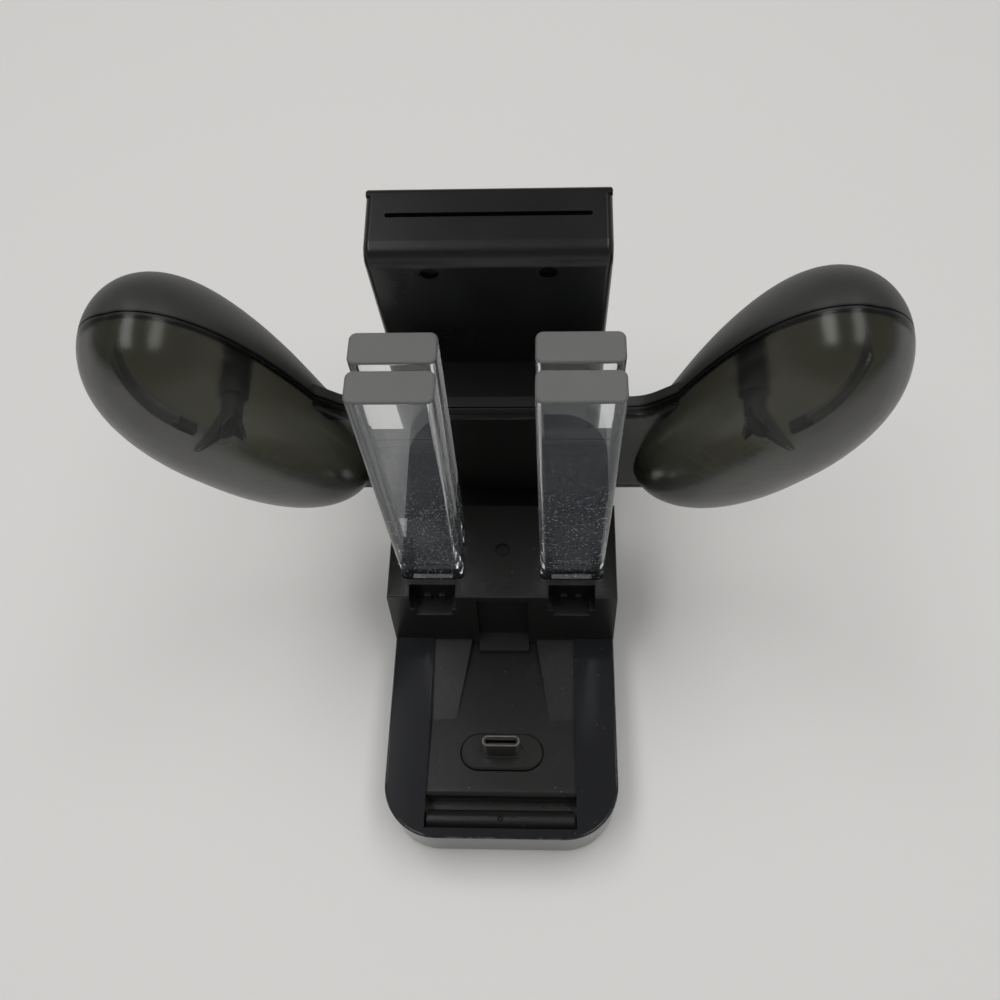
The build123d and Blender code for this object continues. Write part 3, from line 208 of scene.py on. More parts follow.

# %% Charcoal: painted shade in the pockets round the contacts
CONTACT_AT = 15.75 * MM
POCKET_HALF = 7.2 * MM
POCKET_DEPTH = 12.0 * MM
POCKET_TOP = 32.0 * MM
TOWER_LEAN = 0.159
TOWER_FRONT = -11.65 * MM
from_contact = node(
    tree, "ShaderNodeMath", {"operation": "SUBTRACT"}, {0: off_axis.outputs[0], 1: CONTACT_AT}
)
beside_contact = node(tree, "ShaderNodeMath", {"operation": "ABSOLUTE"}, {0: from_contact.outputs[0]})
in_width = node(
    tree, "ShaderNodeMapRange",
    inputs={0: beside_contact.outputs[0], 1: POCKET_HALF + 3 * BLEND, 2: POCKET_HALF},
)
lean = node(
    tree, "ShaderNodeMath", {"operation": "MULTIPLY_ADD"},
    {0: apart.outputs["Z"], 1: -TOWER_LEAN, 2: -TOWER_FRONT},
)
behind_front = node(
    tree, "ShaderNodeMath", {"operation": "ADD"}, {0: apart.outputs["Y"], 1: lean.outputs[0]}
)
in_depth = node(
    tree, "ShaderNodeMapRange", inputs={0: behind_front.outputs[0], 1: 3 * BLEND, 2: 5 * BLEND}
)
in_reach = node(
    tree, "ShaderNodeMapRange",
    inputs={0: behind_front.outputs[0], 1: POCKET_DEPTH + 2 * BLEND, 2: POCKET_DEPTH},
)
under_deck = node(
    tree, "ShaderNodeMapRange",
    inputs={0: apart.outputs["Z"], 1: POCKET_TOP + 3 * BLEND, 2: POCKET_TOP},
)
boxed = node(
    tree, "ShaderNodeMath", {"operation": "MULTIPLY"}, {0: in_width.outputs[0], 1: in_depth.outputs[0]}
)
shut = node(
    tree, "ShaderNodeMath", {"operation": "MULTIPLY"}, {0: boxed.outputs[0], 1: in_reach.outputs[0]}
)
pocket_shade = node(
    tree, "ShaderNodeMath", {"operation": "MULTIPLY"}, {0: shut.outputs[0], 1: under_deck.outputs[0]}
)
print("pockets reach", round(POCKET_DEPTH / MM, 1), "mm behind the tower's front")

# %% Charcoal: surface
# The pockets round the contacts under the deck are painted near black: painted shade, not a colour of the
# plastic.
shaded = node(
    tree, "ShaderNodeMix", {"data_type": "RGBA"},
    {0: pocket_shade.outputs[0], 6: tone.outputs[2], 7: colour("020202")},
)
dusted_and_highlit = node(
    tree, "ShaderNodeMix", {"data_type": "RGBA"},
    {0: dust_wear_and_highlight.outputs[0], 6: shaded.outputs[2], 7: colour("777777")},
)
rough = node(tree, "ShaderNodeMapRange", inputs={0: polished.outputs[0], 3: 0.24, 4: 0.13})
depth = node(tree, "ShaderNodeMapRange", inputs={0: polished.outputs[0], 3: 0.2, 4: 0.02})
bump = node(
    tree, "ShaderNodeBump", inputs={
        "Strength": depth.outputs[0], "Distance": 0.0002, "Height": grain.outputs["Fac"],
    },
)
skin = node(
    tree, "ShaderNodeBsdfPrincipled", inputs={
        "Base Color": dusted_and_highlit.outputs[2], "Roughness": rough.outputs[0],
        "Normal": bump.outputs["Normal"], "IOR": 1.48,
    },
)
tree.links.new(skin.outputs["BSDF"], out.inputs["Surface"])
dress(charcoal, "base_shell", "tower_shell", "bottom_cover", "plug_carrier")

# %% [markdown]
# ## Satin black ABS
# The grip's body is darker and smoother than the dock, with a soft sheen along its rolled edge.

# %% Black body of the grip
black, tree, out, place = finish("abs_satin_black")
cloud = node(tree, "ShaderNodeTexNoise", inputs={"Vector": place, "Scale": per(11), "Detail": 4.0})
grain = node(tree, "ShaderNodeTexNoise", inputs={"Vector": place, "Scale": per(0.4), "Detail": 2.0})
tone = node(
    tree, "ShaderNodeMix", {"data_type": "RGBA"},
    {0: cloud.outputs["Fac"], 6: colour("0A0A0B"), 7: colour("0F0F10")},
)
rough = node(tree, "ShaderNodeMapRange", inputs={0: cloud.outputs["Fac"], 3: 0.24, 4: 0.34})
bump = node(
    tree, "ShaderNodeBump", inputs={"Strength": 0.1, "Distance": 0.0001, "Height": grain.outputs["Fac"]}
)
skin = node(
    tree, "ShaderNodeBsdfPrincipled", inputs={
        "Base Color": tone.outputs[2], "Roughness": rough.outputs[0],
        "Normal": bump.outputs["Normal"], "IOR": 1.5,
    },
)
tree.links.new(skin.outputs["BSDF"], out.inputs["Surface"])
dress(black, "grip_plate_cover", "grip_face_cover", "grip_rail_left", "grip_rail_right")

# %% [markdown]
# ## Grey ABS of the handles' front shells
# The front halves of the handles are opaque and satin outside. Inside, their walls are painted pale, more
# so towards the tips:
# painted light that stands for the glow coming in through the smoke halves, and that shows the dark posts.

# %% Places in a handle
HANDLE_MID = Vector((51.2, 17.94, 71.46)) * MM
HANDLE_AXIS = Vector((0.3074, -0.116, 0.9445)).normalized()
HANDLE_SLIMNESS = 0.43
POST_AT = Vector((47.5, 26.46, 92.36)) * MM
POST_AXIS = Vector((0.0, 0.9925, 0.1219)).normalized()


def around_post(tree, place):
    """Both handles laid over each other: way from the middle, from the post and behind the seam."""
    apart = node(tree, "ShaderNodeSeparateXYZ", inputs={0: place})
    across = node(tree, "ShaderNodeMath", {"operation": "ABSOLUTE"}, {0: apart.outputs["X"]})
    mirrored = node(
        tree, "ShaderNodeCombineXYZ",
        inputs={0: across.outputs[0], 1: apart.outputs["Y"], 2: apart.outputs["Z"]},
    )
    reach = node(
        tree, "ShaderNodeVectorMath", {"operation": "SUBTRACT"}, {0: mirrored.outputs[0], 1: HANDLE_MID}
    )
    depth = node(
        tree, "ShaderNodeVectorMath", {"operation": "DOT_PRODUCT"}, {0: reach.outputs[0], 1: POST_AXIS}
    )
    from_post = node(
        tree, "ShaderNodeVectorMath", {"operation": "SUBTRACT"}, {0: mirrored.outputs[0], 1: POST_AT}
    )
    swing = node(
        tree, "ShaderNodeVectorMath", {"operation": "CROSS_PRODUCT"},
        {0: from_post.outputs[0], 1: POST_AXIS},
    )
    away = node(tree, "ShaderNodeVectorMath", {"operation": "LENGTH"}, {0: swing.outputs[0]})
    return apart, across, reach, away, depth


print("a handle's post stands", round(POST_AT.x / MM, 1), "mm off the middle")

# %% Front shells: inner side
slate, tree, out, place = finish("abs_satin_grey")
apart, across, reach, away, depth = around_post(tree, place)
along = node(
    tree, "ShaderNodeVectorMath", {"operation": "DOT_PRODUCT"}, {0: reach.outputs[0], 1: HANDLE_AXIS}
)
foot = node(
    tree, "ShaderNodeVectorMath", {"operation": "SCALE"},
    {0: HANDLE_AXIS * (1 - HANDLE_SLIMNESS ** 2), "Scale": along.outputs["Value"]},
)
outward = node(
    tree, "ShaderNodeVectorMath", {"operation": "SUBTRACT"}, {0: reach.outputs[0], 1: foot.outputs[0]}
)
facing = node(
    tree, "ShaderNodeSeparateXYZ",
    inputs={0: node(tree, "ShaderNodeNewGeometry").outputs["True Normal"]},
)
side = node(tree, "ShaderNodeMath", {"operation": "SIGN"}, {0: apart.outputs["X"]})
turned = node(
    tree, "ShaderNodeMath", {"operation": "MULTIPLY"}, {0: facing.outputs["X"], 1: side.outputs[0]}
)
normal = node(
    tree, "ShaderNodeCombineXYZ",
    inputs={0: turned.outputs[0], 1: facing.outputs["Y"], 2: facing.outputs["Z"]},
)
lean = node(
    tree, "ShaderNodeVectorMath", {"operation": "DOT_PRODUCT"},
    {0: normal.outputs[0], 1: outward.outputs[0]},
)
inside = node(tree, "ShaderNodeMath", {"operation": "LESS_THAN"}, {0: lean.outputs["Value"], 1: 0.0})
print("the inner wall is found from", len(tree.nodes), "nodes")

# %% Front shells: tones, with painted light on the inner wall
clear_of_post = node(
    tree, "ShaderNodeMapRange", inputs={0: away.outputs["Value"], 1: 0.0028, 2: 0.0034}
)
below_rim = node(
    tree, "ShaderNodeMapRange", inputs={0: depth.outputs["Value"], 1: 0.0006, 2: 0.0016}
)
wall = node(
    tree, "ShaderNodeMath", {"operation": "MULTIPLY"}, {0: inside.outputs[0], 1: below_rim.outputs[0]}
)
# The inner wall is painted pale cream, fading in from the middle towards the tips: painted light for the
# glow through the smoke halves.
glow_toward_tips = node(tree, "ShaderNodeMapRange", inputs={0: across.outputs[0], 1: 0.016, 2: 0.054})
glow_on_wall = node(
    tree, "ShaderNodeMath", {"operation": "MULTIPLY"}, {0: wall.outputs[0], 1: glow_toward_tips.outputs[0]}
)
painted_glow = node(
    tree, "ShaderNodeMath", {"operation": "MULTIPLY"},
    {0: glow_on_wall.outputs[0], 1: clear_of_post.outputs[0]},
)
bridge = node(tree, "ShaderNodeMapRange", inputs={0: across.outputs[0], 1: 0.0255, 2: 0.0245})
cloud = node(tree, "ShaderNodeTexNoise", inputs={"Vector": place, "Scale": per(16), "Detail": 3.0})
satin = node(
    tree, "ShaderNodeMix", {"data_type": "RGBA"},
    {0: cloud.outputs["Fac"], 6: colour("282827"), 7: colour("31312F")},
)
glow_lined_satin = node(
    tree, "ShaderNodeMix", {"data_type": "RGBA"},
    {0: painted_glow.outputs[0], 6: satin.outputs[2], 7: colour("E4E4C4")},
)
lip = node(tree, "ShaderNodeMapRange", inputs={0: depth.outputs["Value"], 1: 0.0006, 2: 0.0003})
dark = node(
    tree, "ShaderNodeMath", {"operation": "MAXIMUM"}, {0: lip.outputs[0], 1: bridge.outputs[0]}
)
tone = node(
    tree, "ShaderNodeMix", {"data_type": "RGBA"},
    {0: dark.outputs[0], 6: glow_lined_satin.outputs[2], 7: colour("070707")},
)
rough = node(tree, "ShaderNodeMapRange", inputs={0: cloud.outputs["Fac"], 3: 0.4, 4: 0.5})
skin = node(
    tree, "ShaderNodeBsdfPrincipled",
    inputs={"Base Color": tone.outputs[2], "Roughness": rough.outputs[0], "IOR": 1.53},
)
tree.links.new(skin.outputs["BSDF"], out.inputs["Surface"])
dress(slate, "grip_front_shell")

# %% [markdown]
# ## Smoke transparent ABS, moulded
# The back halves of the handles are tinted in the mass: the longer the way through the plastic,
# the darker it looks, so walls seen edge on, ribs and posts show dark. A satin tool gives the
# surface a slight haze that blurs what lies deep inside and leaves what touches the wall sharp.

# %% Smoke shell: skin
SOOT_SHARE = 0.38
smoke, tree, out, place = finish("abs_transparent_smoke")
cloud = node(tree, "ShaderNodeTexNoise", inputs={"Vector": place, "Scale": per(18), "Detail": 3.0})
rough = node(tree, "ShaderNodeMapRange", inputs={0: cloud.outputs["Fac"], 3: 0.17, 4: 0.24})
skin = node(
    tree, "ShaderNodeBsdfPrincipled", inputs={
        "Base Color": (1.0, 1.0, 1.0, 1.0), "Roughness": rough.outputs[0], "IOR": 1.5,
        "Transmission Weight": 1.0,
    },
)
soot = node(tree, "ShaderNodeBsdfDiffuse", inputs={"Color": colour("0E0E0C")})
sooty = node(tree, "ShaderNodeMixShader", inputs={0: SOOT_SHARE, 1: skin.outputs[0], 2: soot.outputs[0]})
print("smoke skin is", SOOT_SHARE, "part soot")

# %% Smoke shell: dark lip and posts
POST_REACH = 4.0 * MM
CLAW_REACH = 9.0 * MM
apart, across, reach, away, depth = around_post(tree, place)
lip = node(tree, "ShaderNodeMapRange", inputs={0: depth.outputs["Value"], 1: -0.0008, 2: -0.0005})
girth = node(
    tree, "ShaderNodeMapRange",
    inputs={0: depth.outputs["Value"], 1: -0.009, 2: -0.0095, 3: POST_REACH, 4: CLAW_REACH},
)
near_post = node(
    tree, "ShaderNodeMath", {"operation": "LESS_THAN"}, {0: away.outputs["Value"], 1: girth.outputs[0]}
)
facing = node(tree, "ShaderNodeNewGeometry").outputs["True Normal"]
along_post = node(
    tree, "ShaderNodeVectorMath", {"operation": "DOT_PRODUCT"}, {0: facing, 1: POST_AXIS}
)
slant = node(tree, "ShaderNodeMath", {"operation": "ABSOLUTE"}, {0: along_post.outputs["Value"]})
upright = node(tree, "ShaderNodeMath", {"operation": "LESS_THAN"}, {0: slant.outputs[0], 1: 0.22})
post = node(
    tree, "ShaderNodeMath", {"operation": "MULTIPLY"}, {0: near_post.outputs[0], 1: upright.outputs[0]}
)
dark = node(
    tree, "ShaderNodeMath", {"operation": "MAXIMUM"}, {0: post.outputs[0], 1: lip.outputs[0]}
)
stained = node(
    tree, "ShaderNodeBsdfPrincipled", inputs={"Base Color": colour("070707"), "Roughness": 0.4}
)
lipped = node(
    tree, "ShaderNodeMixShader", inputs={0: dark.outputs[0], 1: sooty.outputs[0], 2: stained.outputs[0]}
)
print("posts are dark within", round(POST_REACH / MM, 1), "mm of their axis")

# %% Smoke shell: body
through = node(tree, "ShaderNodeBsdfTransparent")
path = node(tree, "ShaderNodeLightPath")
body = node(
    tree, "ShaderNodeMixShader",
    inputs={0: path.outputs["Is Shadow Ray"], 1: lipped.outputs[0], 2: through.outputs[0]},
)
tint = node(
    tree, "ShaderNodeVolumeAbsorption", inputs={"Color": colour("8A8A70"), "Density": 60.0}
)
tree.links.new(body.outputs[0], out.inputs["Surface"])
tree.links.new(tint.outputs[0], out.inputs["Volume"])
dress(smoke, "grip_back_shell")

# %% [markdown]
# ## Clear acrylic, polished with ground tops
# Each column is a pair of clear blocks. Their sides came off polished steel and their tops are
# ground to a frosted grey. Handling leaves a faint bluish veil, and fine dust sticks to the lower
# half, where it catches the light as small white points.

# %% Clear blocks
clear, tree, out, place = finish("acrylic_moulded_clear")
apart = node(tree, "ShaderNodeSeparateXYZ", inputs={0: place})
top = node(tree, "ShaderNodeMapRange", inputs={0: apart.outputs["Z"], 1: 0.1054, 2: 0.1058})
wipe = node(tree, "ShaderNodeTexNoise", inputs={"Vector": place, "Scale": per(6), "Detail": 6.0})
rough = node(tree, "ShaderNodeMapRange", inputs={0: wipe.outputs["Fac"], 3: 0.0, 4: 0.03})
glass = node(
    tree, "ShaderNodeBsdfPrincipled", inputs={
        "Base Color": colour("FCFDFD"), "Roughness": rough.outputs[0], "IOR": 1.47,
        "Transmission Weight": 1.0,
    },
)
veil = node(
    tree, "ShaderNodeBsdfPrincipled", inputs={"Base Color": colour("B9C0C8"), "Roughness": 0.7}
)
# dust points are about 0.3 mm wide, larger than real dust, so that they show
grit = node(tree, "ShaderNodeTexVoronoi", inputs={"Vector": place, "Scale": per(1.4)})
points = node(
    tree, "ShaderNodeMapRange", inputs={0: grit.outputs["Distance"], 1: 0.2, 2: 0.12, 4: 0.6}
)
settled = node(tree, "ShaderNodeMapRange", inputs={0: apart.outputs["Z"], 1: 0.094, 2: 0.06})
dust = node(
    tree, "ShaderNodeMath", {"operation": "MULTIPLY"}, {0: points.outputs[0], 1: settled.outputs[0]}
)
hazy = node(tree, "ShaderNodeMapRange", inputs={0: wipe.outputs["Fac"], 3: 0.01, 4: 0.06})
soiled = node(
    tree, "ShaderNodeMath", {"operation": "MAXIMUM"}, {0: dust.outputs[0], 1: hazy.outputs[0]}
)
sides = node(
    tree, "ShaderNodeMixShader", inputs={0: soiled.outputs[0], 1: glass.outputs[0], 2: veil.outputs[0]}
)
print("dust sticks to the lower part of the sides")

# %% Clear blocks: frosted top
frost_tone = node(
    tree, "ShaderNodeMix", {"data_type": "RGBA"},
    {0: wipe.outputs["Fac"], 6: colour("6E6E6C"), 7: colour("767674")},
)
frost = node(
    tree, "ShaderNodeBsdfPrincipled", inputs={
        "Base Color": frost_tone.outputs[2], "Roughness": 0.6, "IOR": 1.49, "Transmission Weight": 0.2,
    },
)
capped = node(
    tree, "ShaderNodeMixShader", inputs={0: top.outputs[0], 1: sides.outputs[0], 2: frost.outputs[0]}
)
through = node(tree, "ShaderNodeBsdfTransparent", inputs={"Color": (0.9, 0.9, 0.9, 1.0)})
path = node(tree, "ShaderNodeLightPath")
body = node(
    tree, "ShaderNodeMixShader",
    inputs={0: path.outputs["Is Shadow Ray"], 1: capped.outputs[0], 2: through.outputs[0]},
)
tree.links.new(body.outputs[0], out.inputs["Surface"])

# %% [markdown]
# ## Solid blocks for the columns
# The solids of the frame are cups, mouth down, which is enough for their weight and their fit. The
# eye looks through them, though, and what stands behind a column appears shifted down by the
# plastic: only a block without a hollow shifts it so far. The block is a merged copy of one cup
# whose hollow is taken out and whose mouth is closed. It could be made four times over, but four
# like blocks on a grid are what Geometry Nodes do best: one block is stood on every grid point.

# %% One block
COLUMNS = ("column_left_front", "column_left_rear", "column_right_front", "column_right_rear")
boxes = [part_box(name) for name in COLUMNS]
places = [[(a + b) / 2 for a, b in zip(*box)] for box in boxes]
shape = bmesh.new()
shape.from_mesh(nodes[COLUMNS[0]].data)
bmesh.ops.remove_doubles(shape, verts=shape.verts, dist=1e-6)
hollow = [
    v for v in shape.verts
    if abs(v.co.x - places[0][0]) < 6.5 * MM and abs(v.co.y - places[0][1]) < 2.0 * MM
]
bmesh.ops.delete(shape, geom=hollow, context="VERTS")
bmesh.ops.holes_fill(shape, edges=[e for e in shape.edges if e.is_boundary])
bmesh.ops.recalc_face_normals(shape, faces=shape.faces)
bmesh.ops.translate(shape, verts=shape.verts, vec=(-places[0][0], -places[0][1], 0.0))
for face in shape.faces:
    face.smooth = max(abs(part) for part in face.normal) < 0.9998
block = bpy.data.meshes.new("column_block")
shape.to_mesh(block)
shape.free()
print("one block has", len(block.polygons), "faces,", len(hollow), "corners of its hollow are gone")


# %% Rows of one shape
def rows(name, mesh, material, sizes, build):
    """Runs a shape through a Geometry Nodes tree and gives back a plain mesh object."""
    tree = bpy.data.node_groups.new(name, "GeometryNodeTree")
    tree.interface.new_socket("Geometry", in_out="INPUT", socket_type="NodeSocketGeometry")
    for label, value in sizes.items():
        kind = "NodeSocketInt" if isinstance(value, int) else "NodeSocketFloat"
        tree.interface.new_socket(label, in_out="INPUT", socket_type=kind)
    tree.interface.new_socket("Geometry", in_out="OUTPUT", socket_type="NodeSocketGeometry")
    given = tree.nodes.new("NodeGroupInput")
    real = node(tree, "GeometryNodeRealizeInstances", inputs={0: build(tree, given)})
    dressed = node(
        tree, "GeometryNodeSetMaterial", inputs={"Geometry": real.outputs[0], "Material": material}
    )
    tree.links.new(dressed.outputs[0], tree.nodes.new("NodeGroupOutput").inputs[0])
    maker = bpy.data.objects.new(name + "_maker", mesh)
    bpy.context.scene.collection.objects.link(maker)
    modifier = maker.modifiers.new(name, "NODES")
    modifier.node_group = tree
    for item in tree.interface.items_tree:
        if item.in_out == "INPUT" and item.name in sizes:
            modifier[item.identifier] = sizes[item.name]
    made = bpy.data.meshes.new_from_object(maker.evaluated_get(bpy.context.evaluated_depsgraph_get()))
    made.name = name
    bpy.data.objects.remove(maker)
    piece = bpy.data.objects.new(name, made)
    bpy.context.scene.collection.objects.link(piece)
    print(name, "has", len(made.polygons), "faces and its sizes", sizes)
    return piece


# %% Four blocks on a grid
def stand_on_grid(tree, given):
    """Tree that stands the shape on the four corners of a grid."""
    grid = node(
        tree, "GeometryNodeMeshGrid", inputs={
            "Size X": given.outputs["Across"], "Size Y": given.outputs["Along"],
            "Vertices X": 2, "Vertices Y": 2,
        },
    )
    stood = node(
        tree, "GeometryNodeInstanceOnPoints",
        inputs={"Points": grid.outputs["Mesh"], "Instance": given.outputs["Geometry"]},
    )
    return stood.outputs["Instances"]


blocks = rows(
    "column_blocks", block, clear,
    {"Across": 2 * abs(places[0][0]), "Along": abs(places[0][1] - places[1][1])}, stand_on_grid,
)
blocks.data.transform(Matrix.Translation((0.0, (places[0][1] + places[1][1]) / 2, 0.0)))
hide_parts(*COLUMNS)
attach(blocks, "root")

# %% [markdown]
# ## Nickel-plated steel
# The plugs and sockets are drawn steel with a bright plating, faintly streaked along their length.

# %% Plugs and sockets
nickel, tree, out, place = finish("steel_nickel_plated")
streak = node(tree, "ShaderNodeTexNoise", inputs={"Vector": place, "Scale": per(0.8), "Detail": 3.0})
rough = node(tree, "ShaderNodeMapRange", inputs={0: streak.outputs["Fac"], 3: 0.28, 4: 0.44})
skin = node(
    tree, "ShaderNodeBsdfPrincipled", inputs={
        "Base Color": colour("8C8881"), "Metallic": 1.0, "Roughness": rough.outputs[0],
    },
)
tree.links.new(skin.outputs["BSDF"], out.inputs["Surface"])
dress(nickel, "tray_plug_shell", "cradle_plug_shell", "power_inlet", "grip_port")

# %% [markdown]
# ## Contact fingers of the tray's plug
# Inside the mouth of the plug two rows of tin-plated springs face each other. Each finger is a
# thin strip that bulges towards the middle. One strip is bent from a few faces, and Geometry Nodes
# set a row of them along each wall of the slot.

# %% Tin-plated bronze
tin, tree, out, place = finish("bronze_tin_plated")
streak = node(tree, "ShaderNodeTexNoise", inputs={"Vector": place, "Scale": per(0.3), "Detail": 3.0})
tone = node(
    tree, "ShaderNodeMix", {"data_type": "RGBA"},
    {0: streak.outputs["Fac"], 6: colour("4E4A42"), 7: colour("646058")},
)
rough = node(tree, "ShaderNodeMapRange", inputs={0: streak.outputs["Fac"], 3: 0.25, 4: 0.4})
skin = node(
    tree, "ShaderNodeBsdfPrincipled",
    inputs={"Base Color": tone.outputs[2], "Metallic": 1.0, "Roughness": rough.outputs[0]},
)
tree.links.new(skin.outputs["BSDF"], out.inputs["Surface"])

# %% One finger
FINGER = ((-3.6, 0.0), (-2.4, 0.04), (-1.5, 0.16), (-1.1, 0.19), (-0.8, 0.16), (-0.5, 0.06))
FINGER_HALF = 0.12
FINGER_THICK = 0.05
strip = bmesh.new()
rungs = []
for height, bulge in FINGER:
    front = bulge + FINGER_THICK
    outline = ((-FINGER_HALF, 0.0), (FINGER_HALF, 0.0), (FINGER_HALF, front), (-FINGER_HALF, front))
    corners = [(x, y, height) for x, y in outline]
    rungs.append([strip.verts.new(Vector(corner) * MM) for corner in corners])
for below, above in zip(rungs, rungs[1:]):
    for i in range(4):
        strip.faces.new((below[i], below[i - 3], above[i - 3], above[i]))
strip.faces.new(rungs[0])
strip.faces.new(rungs[-1])
bmesh.ops.recalc_face_normals(strip, faces=strip.faces)
finger = bpy.data.meshes.new("finger")
strip.to_mesh(finger)
strip.free()
print("one finger has", len(finger.polygons), "faces")


# %% Two rows of fingers
def face_each_other(tree, given):
    """Tree that sets a row of the shape along each wall of a slot."""
    half = node(tree, "ShaderNodeMath", {"operation": "MULTIPLY"}, {0: given.outputs["Row"], 1: -0.5})
    first = node(
        tree, "ShaderNodeCombineXYZ", inputs={0: half.outputs[0], 1: given.outputs["Wall"]}
    )
    span = node(tree, "ShaderNodeCombineXYZ", inputs={0: given.outputs["Row"]})
    last = node(
        tree, "ShaderNodeVectorMath", {"operation": "ADD"}, {0: first.outputs[0], 1: span.outputs[0]}
    )
    line = node(
        tree, "GeometryNodeMeshLine", {"mode": "END_POINTS"}, {
            "Count": given.outputs["Fingers"], "Start Location": first.outputs[0],
            "Offset": last.outputs[0],
        },
    )
    stood = node(
        tree, "GeometryNodeInstanceOnPoints",
        inputs={"Points": line.outputs["Mesh"], "Instance": given.outputs["Geometry"]},
    )
    turned = node(
        tree, "GeometryNodeTransform",
        inputs={"Geometry": stood.outputs["Instances"], "Rotation": (0.0, 0.0, pi)},
    )
    both = tree.nodes.new("GeometryNodeJoinGeometry")
    tree.links.new(stood.outputs["Instances"], both.inputs[0])
    tree.links.new(turned.outputs[0], both.inputs[0])
    return both.outputs[0]


fingers = rows(
    "plug_fingers", finger, tin,
    {"Fingers": 12, "Row": 5.5 * MM, "Wall": -0.4 * MM}, face_each_other,
)
tip = Matrix.Translation(Vector((0.0, -35.923, 21.283)) * MM)
fingers.data.transform(tip @ Matrix.Rotation(radians(-7.0), 4, "X"))
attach(fingers, "root")

# %% [markdown]
# ## Small parts
# Plug inserts, contacts, screws, feet, boards, lamps and the lens are small or hidden, so one loop
# dresses them all: each has a mottled tone and a gloss of its own.

# %% Small parts
SMALL = (
    # moulded nylon: plain and dull
    ("nylon_black", "0E0E0F", "161617", 0.0, 0.45, ("tray_plug_insert", "cradle_plug_insert")),
    # thinly plated springs: a dark metal sheen
    ("bronze_nickel_flashed", "4A4844", "5A5852", 1.0, 0.35, ("charge_contacts",)),
    # oxide-blackened steel: a faint metal glint in a dark hole
    ("steel_blackened", "1A1A1B", "2A2A2B", 1.0, 0.42, ("bottom_screws", "plate_screws", "handle_screws")),
    # moulded rubber: almost no sheen
    ("rubber_moulded", "111111", "191919", 0.0, 0.8, ("rubber_feet",)),
    # dark lacquer over the board: a smooth sheen in the notches
    ("board_solder_mask", "0B0E0C", "131714", 0.0, 0.35,
     ("main_board", "plug_board", "lamp_board", "grip_board")),
    # cast resin, unlit: grey and glossy
    ("lamp_epoxy", "33332F", "43433E", 0.0, 0.3, ("column_lamps",)),
    # polished moulded lens, unlit: as dark as the deck, but glossier
    ("lens_acrylic", "121212", "1A1A19", 0.0, 0.22, ("indicator_lens",)),
)
for name, dark, light, metal, roughness, pieces in SMALL:
    made, tree, out, place = finish(name)
    mottle = node(tree, "ShaderNodeTexNoise", inputs={"Vector": place, "Scale": per(1.5), "Detail": 3.0})
    tone = node(
        tree, "ShaderNodeMix", {"data_type": "RGBA"},
        {0: mottle.outputs["Fac"], 6: colour(dark), 7: colour(light)},
    )
    skin = node(
        tree, "ShaderNodeBsdfPrincipled",
        inputs={"Base Color": tone.outputs[2], "Metallic": metal, "Roughness": roughness},
    )
    tree.links.new(skin.outputs["BSDF"], out.inputs["Surface"])
    dress(made, *pieces)

# %% [markdown]
# ## Floor and light
# A plain pale table runs out of view on all sides. Two long soft panels hang overhead, left and
# right: they throw a double shadow under each handle and draw two streaks on its gloss. A broad
# ceiling light fills in. It would show as a wide glare, so gloss and clear plastic don't mirror it.
# The room gives a weak light. The lamps light only the middle of the table, so far out, and at the
# horizon, the eye is shown the table's plain tone.


# %% Rays that end in the eye
def shown_to_eye(tree):
    """Is 1 on rays to the eye, straight or by way of gloss or clear plastic."""
    path = node(tree, "ShaderNodeLightPath")
    seen = node(
        tree, "ShaderNodeMath", {"operation": "MAXIMUM"},
        {0: path.outputs["Is Camera Ray"], 1: path.outputs["Is Glossy Ray"]},
    )
    shown = node(
        tree, "ShaderNodeMath", {"operation": "MAXIMUM"},
        {0: seen.outputs[0], 1: path.outputs["Is Transmission Ray"]},
    )
    return shown.outputs[0]


# %% Floor
made, tree, out, place = finish("table_pale")
skin = node(
    tree, "ShaderNodeBsdfPrincipled", inputs={"Base Color": colour("EAE9E7"), "Roughness": 0.6},
)
plain = node(tree, "ShaderNodeEmission", inputs={"Color": colour("CFCECC"), "Strength": 1.0})
distance = node(tree, "ShaderNodeVectorMath", {"operation": "LENGTH"}, {0: place})
far = node(tree, "ShaderNodeMapRange", inputs={0: distance.outputs["Value"], 1: 0.3, 2: 0.9})
faded = node(
    tree, "ShaderNodeMath", {"operation": "MULTIPLY"}, {0: far.outputs[0], 1: shown_to_eye(tree)}
)
table = node(
    tree, "ShaderNodeMixShader", inputs={0: faded.outputs[0], 1: skin.outputs[0], 2: plain.outputs[0]}
)
tree.links.new(table.outputs[0], out.inputs["Surface"])
half = 3.0
drop = -0.02 * MM  # a hair under the feet
mesh = bpy.data.meshes.new("floor")
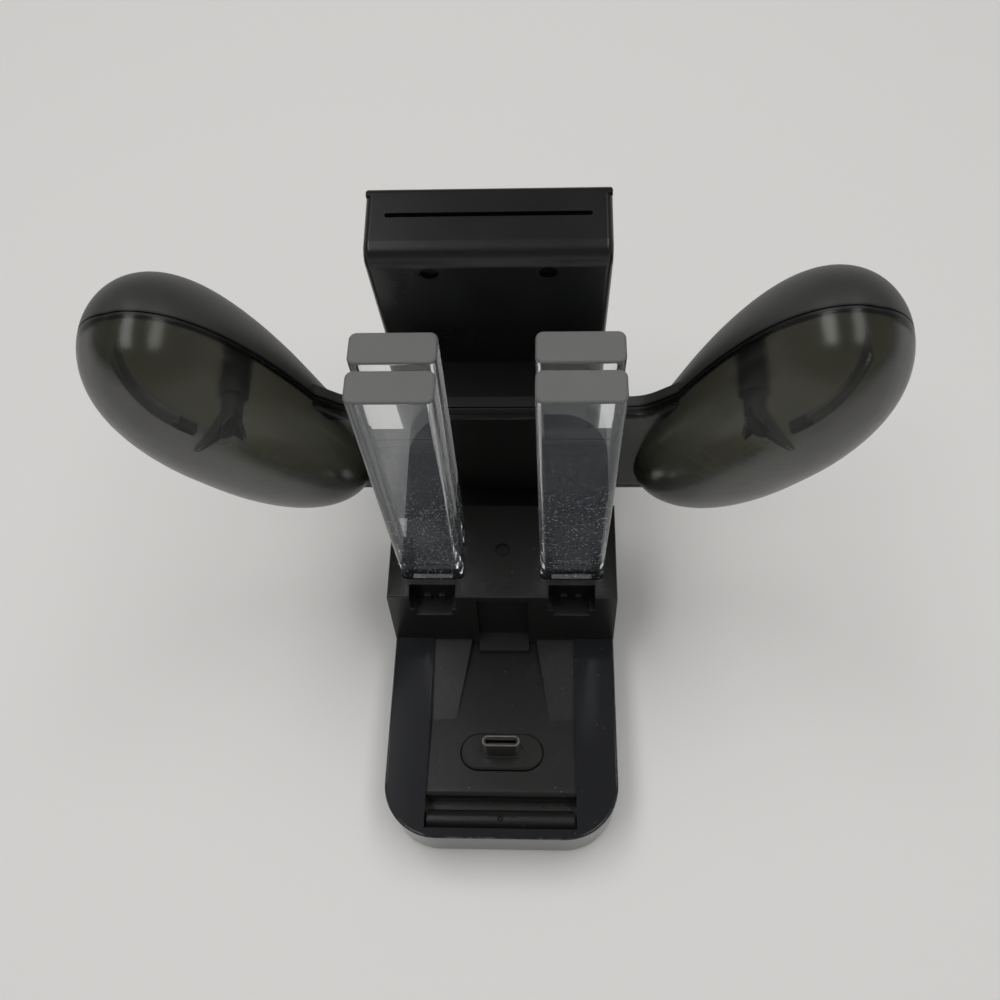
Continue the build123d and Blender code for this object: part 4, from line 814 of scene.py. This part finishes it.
mesh.from_pydata(
    [(-half, -half, drop), (half, -half, drop), (half, half, drop), (-half, half, drop)],
    [], [(0, 1, 2, 3)],
)
mesh.materials.append(made)
floor = bpy.data.objects.new("floor", mesh)
bpy.context.scene.collection.objects.link(floor)
print("table is", 2 * half, "m wide")

# %% Lamps
LAMP_HEIGHT = 1.1
LAMPS = (
    ("panel_left", -0.39, 0.06, 0.3, 1.0, 3.2, True),
    ("panel_right", 0.39, 0.06, 0.3, 1.0, 2.5, True),
    ("ceiling", 0.0, 0.1, 1.1, 1.1, 4.9, False),
)
for name, across, along, width, length, power, seen_in_gloss in LAMPS:
    lamp = bpy.data.lights.new(name, "AREA")
    lamp.shape = "RECTANGLE"
    lamp.size = width
    lamp.size_y = length
    lamp.energy = power
    holder = bpy.data.objects.new(name, lamp)
    holder.location = (across, along, LAMP_HEIGHT)
    holder.visible_glossy = seen_in_gloss
    holder.visible_transmission = seen_in_gloss
    bpy.context.scene.collection.objects.link(holder)
    print(name, "gives", power, "W")

# %% Room
world = bpy.data.worlds.new("room")
world.use_nodes = True
tree = world.node_tree
sky = node(
    tree, "ShaderNodeSeparateXYZ", inputs={0: node(tree, "ShaderNodeTexCoord").outputs["Generated"]}
)
walls = node(
    tree, "ShaderNodeMapRange", inputs={0: sky.outputs["Z"], 1: 0.35, 2: 0.8, 3: 0.32, 4: 0.17}
)
horizon = node(
    tree, "ShaderNodeMapRange", inputs={0: sky.outputs["Z"], 1: 0.1, 2: 0.35, 3: 0.76, 4: 0.2}
)
backdrop = node(
    tree, "ShaderNodeMath", {"operation": "MULTIPLY"}, {0: horizon.outputs[0], 1: shown_to_eye(tree)}
)
level = node(
    tree, "ShaderNodeMath", {"operation": "MAXIMUM"}, {0: walls.outputs[0], 1: backdrop.outputs[0]}
)
tree.links.new(level.outputs[0], tree.nodes["Background"].inputs["Strength"])
tree.nodes["Background"].inputs["Color"].default_value = colour("E9E8E6")
bpy.context.scene.world = world
bpy.context.scene.view_settings.view_transform = "Standard"
print("the room has", len(tree.nodes), "nodes")
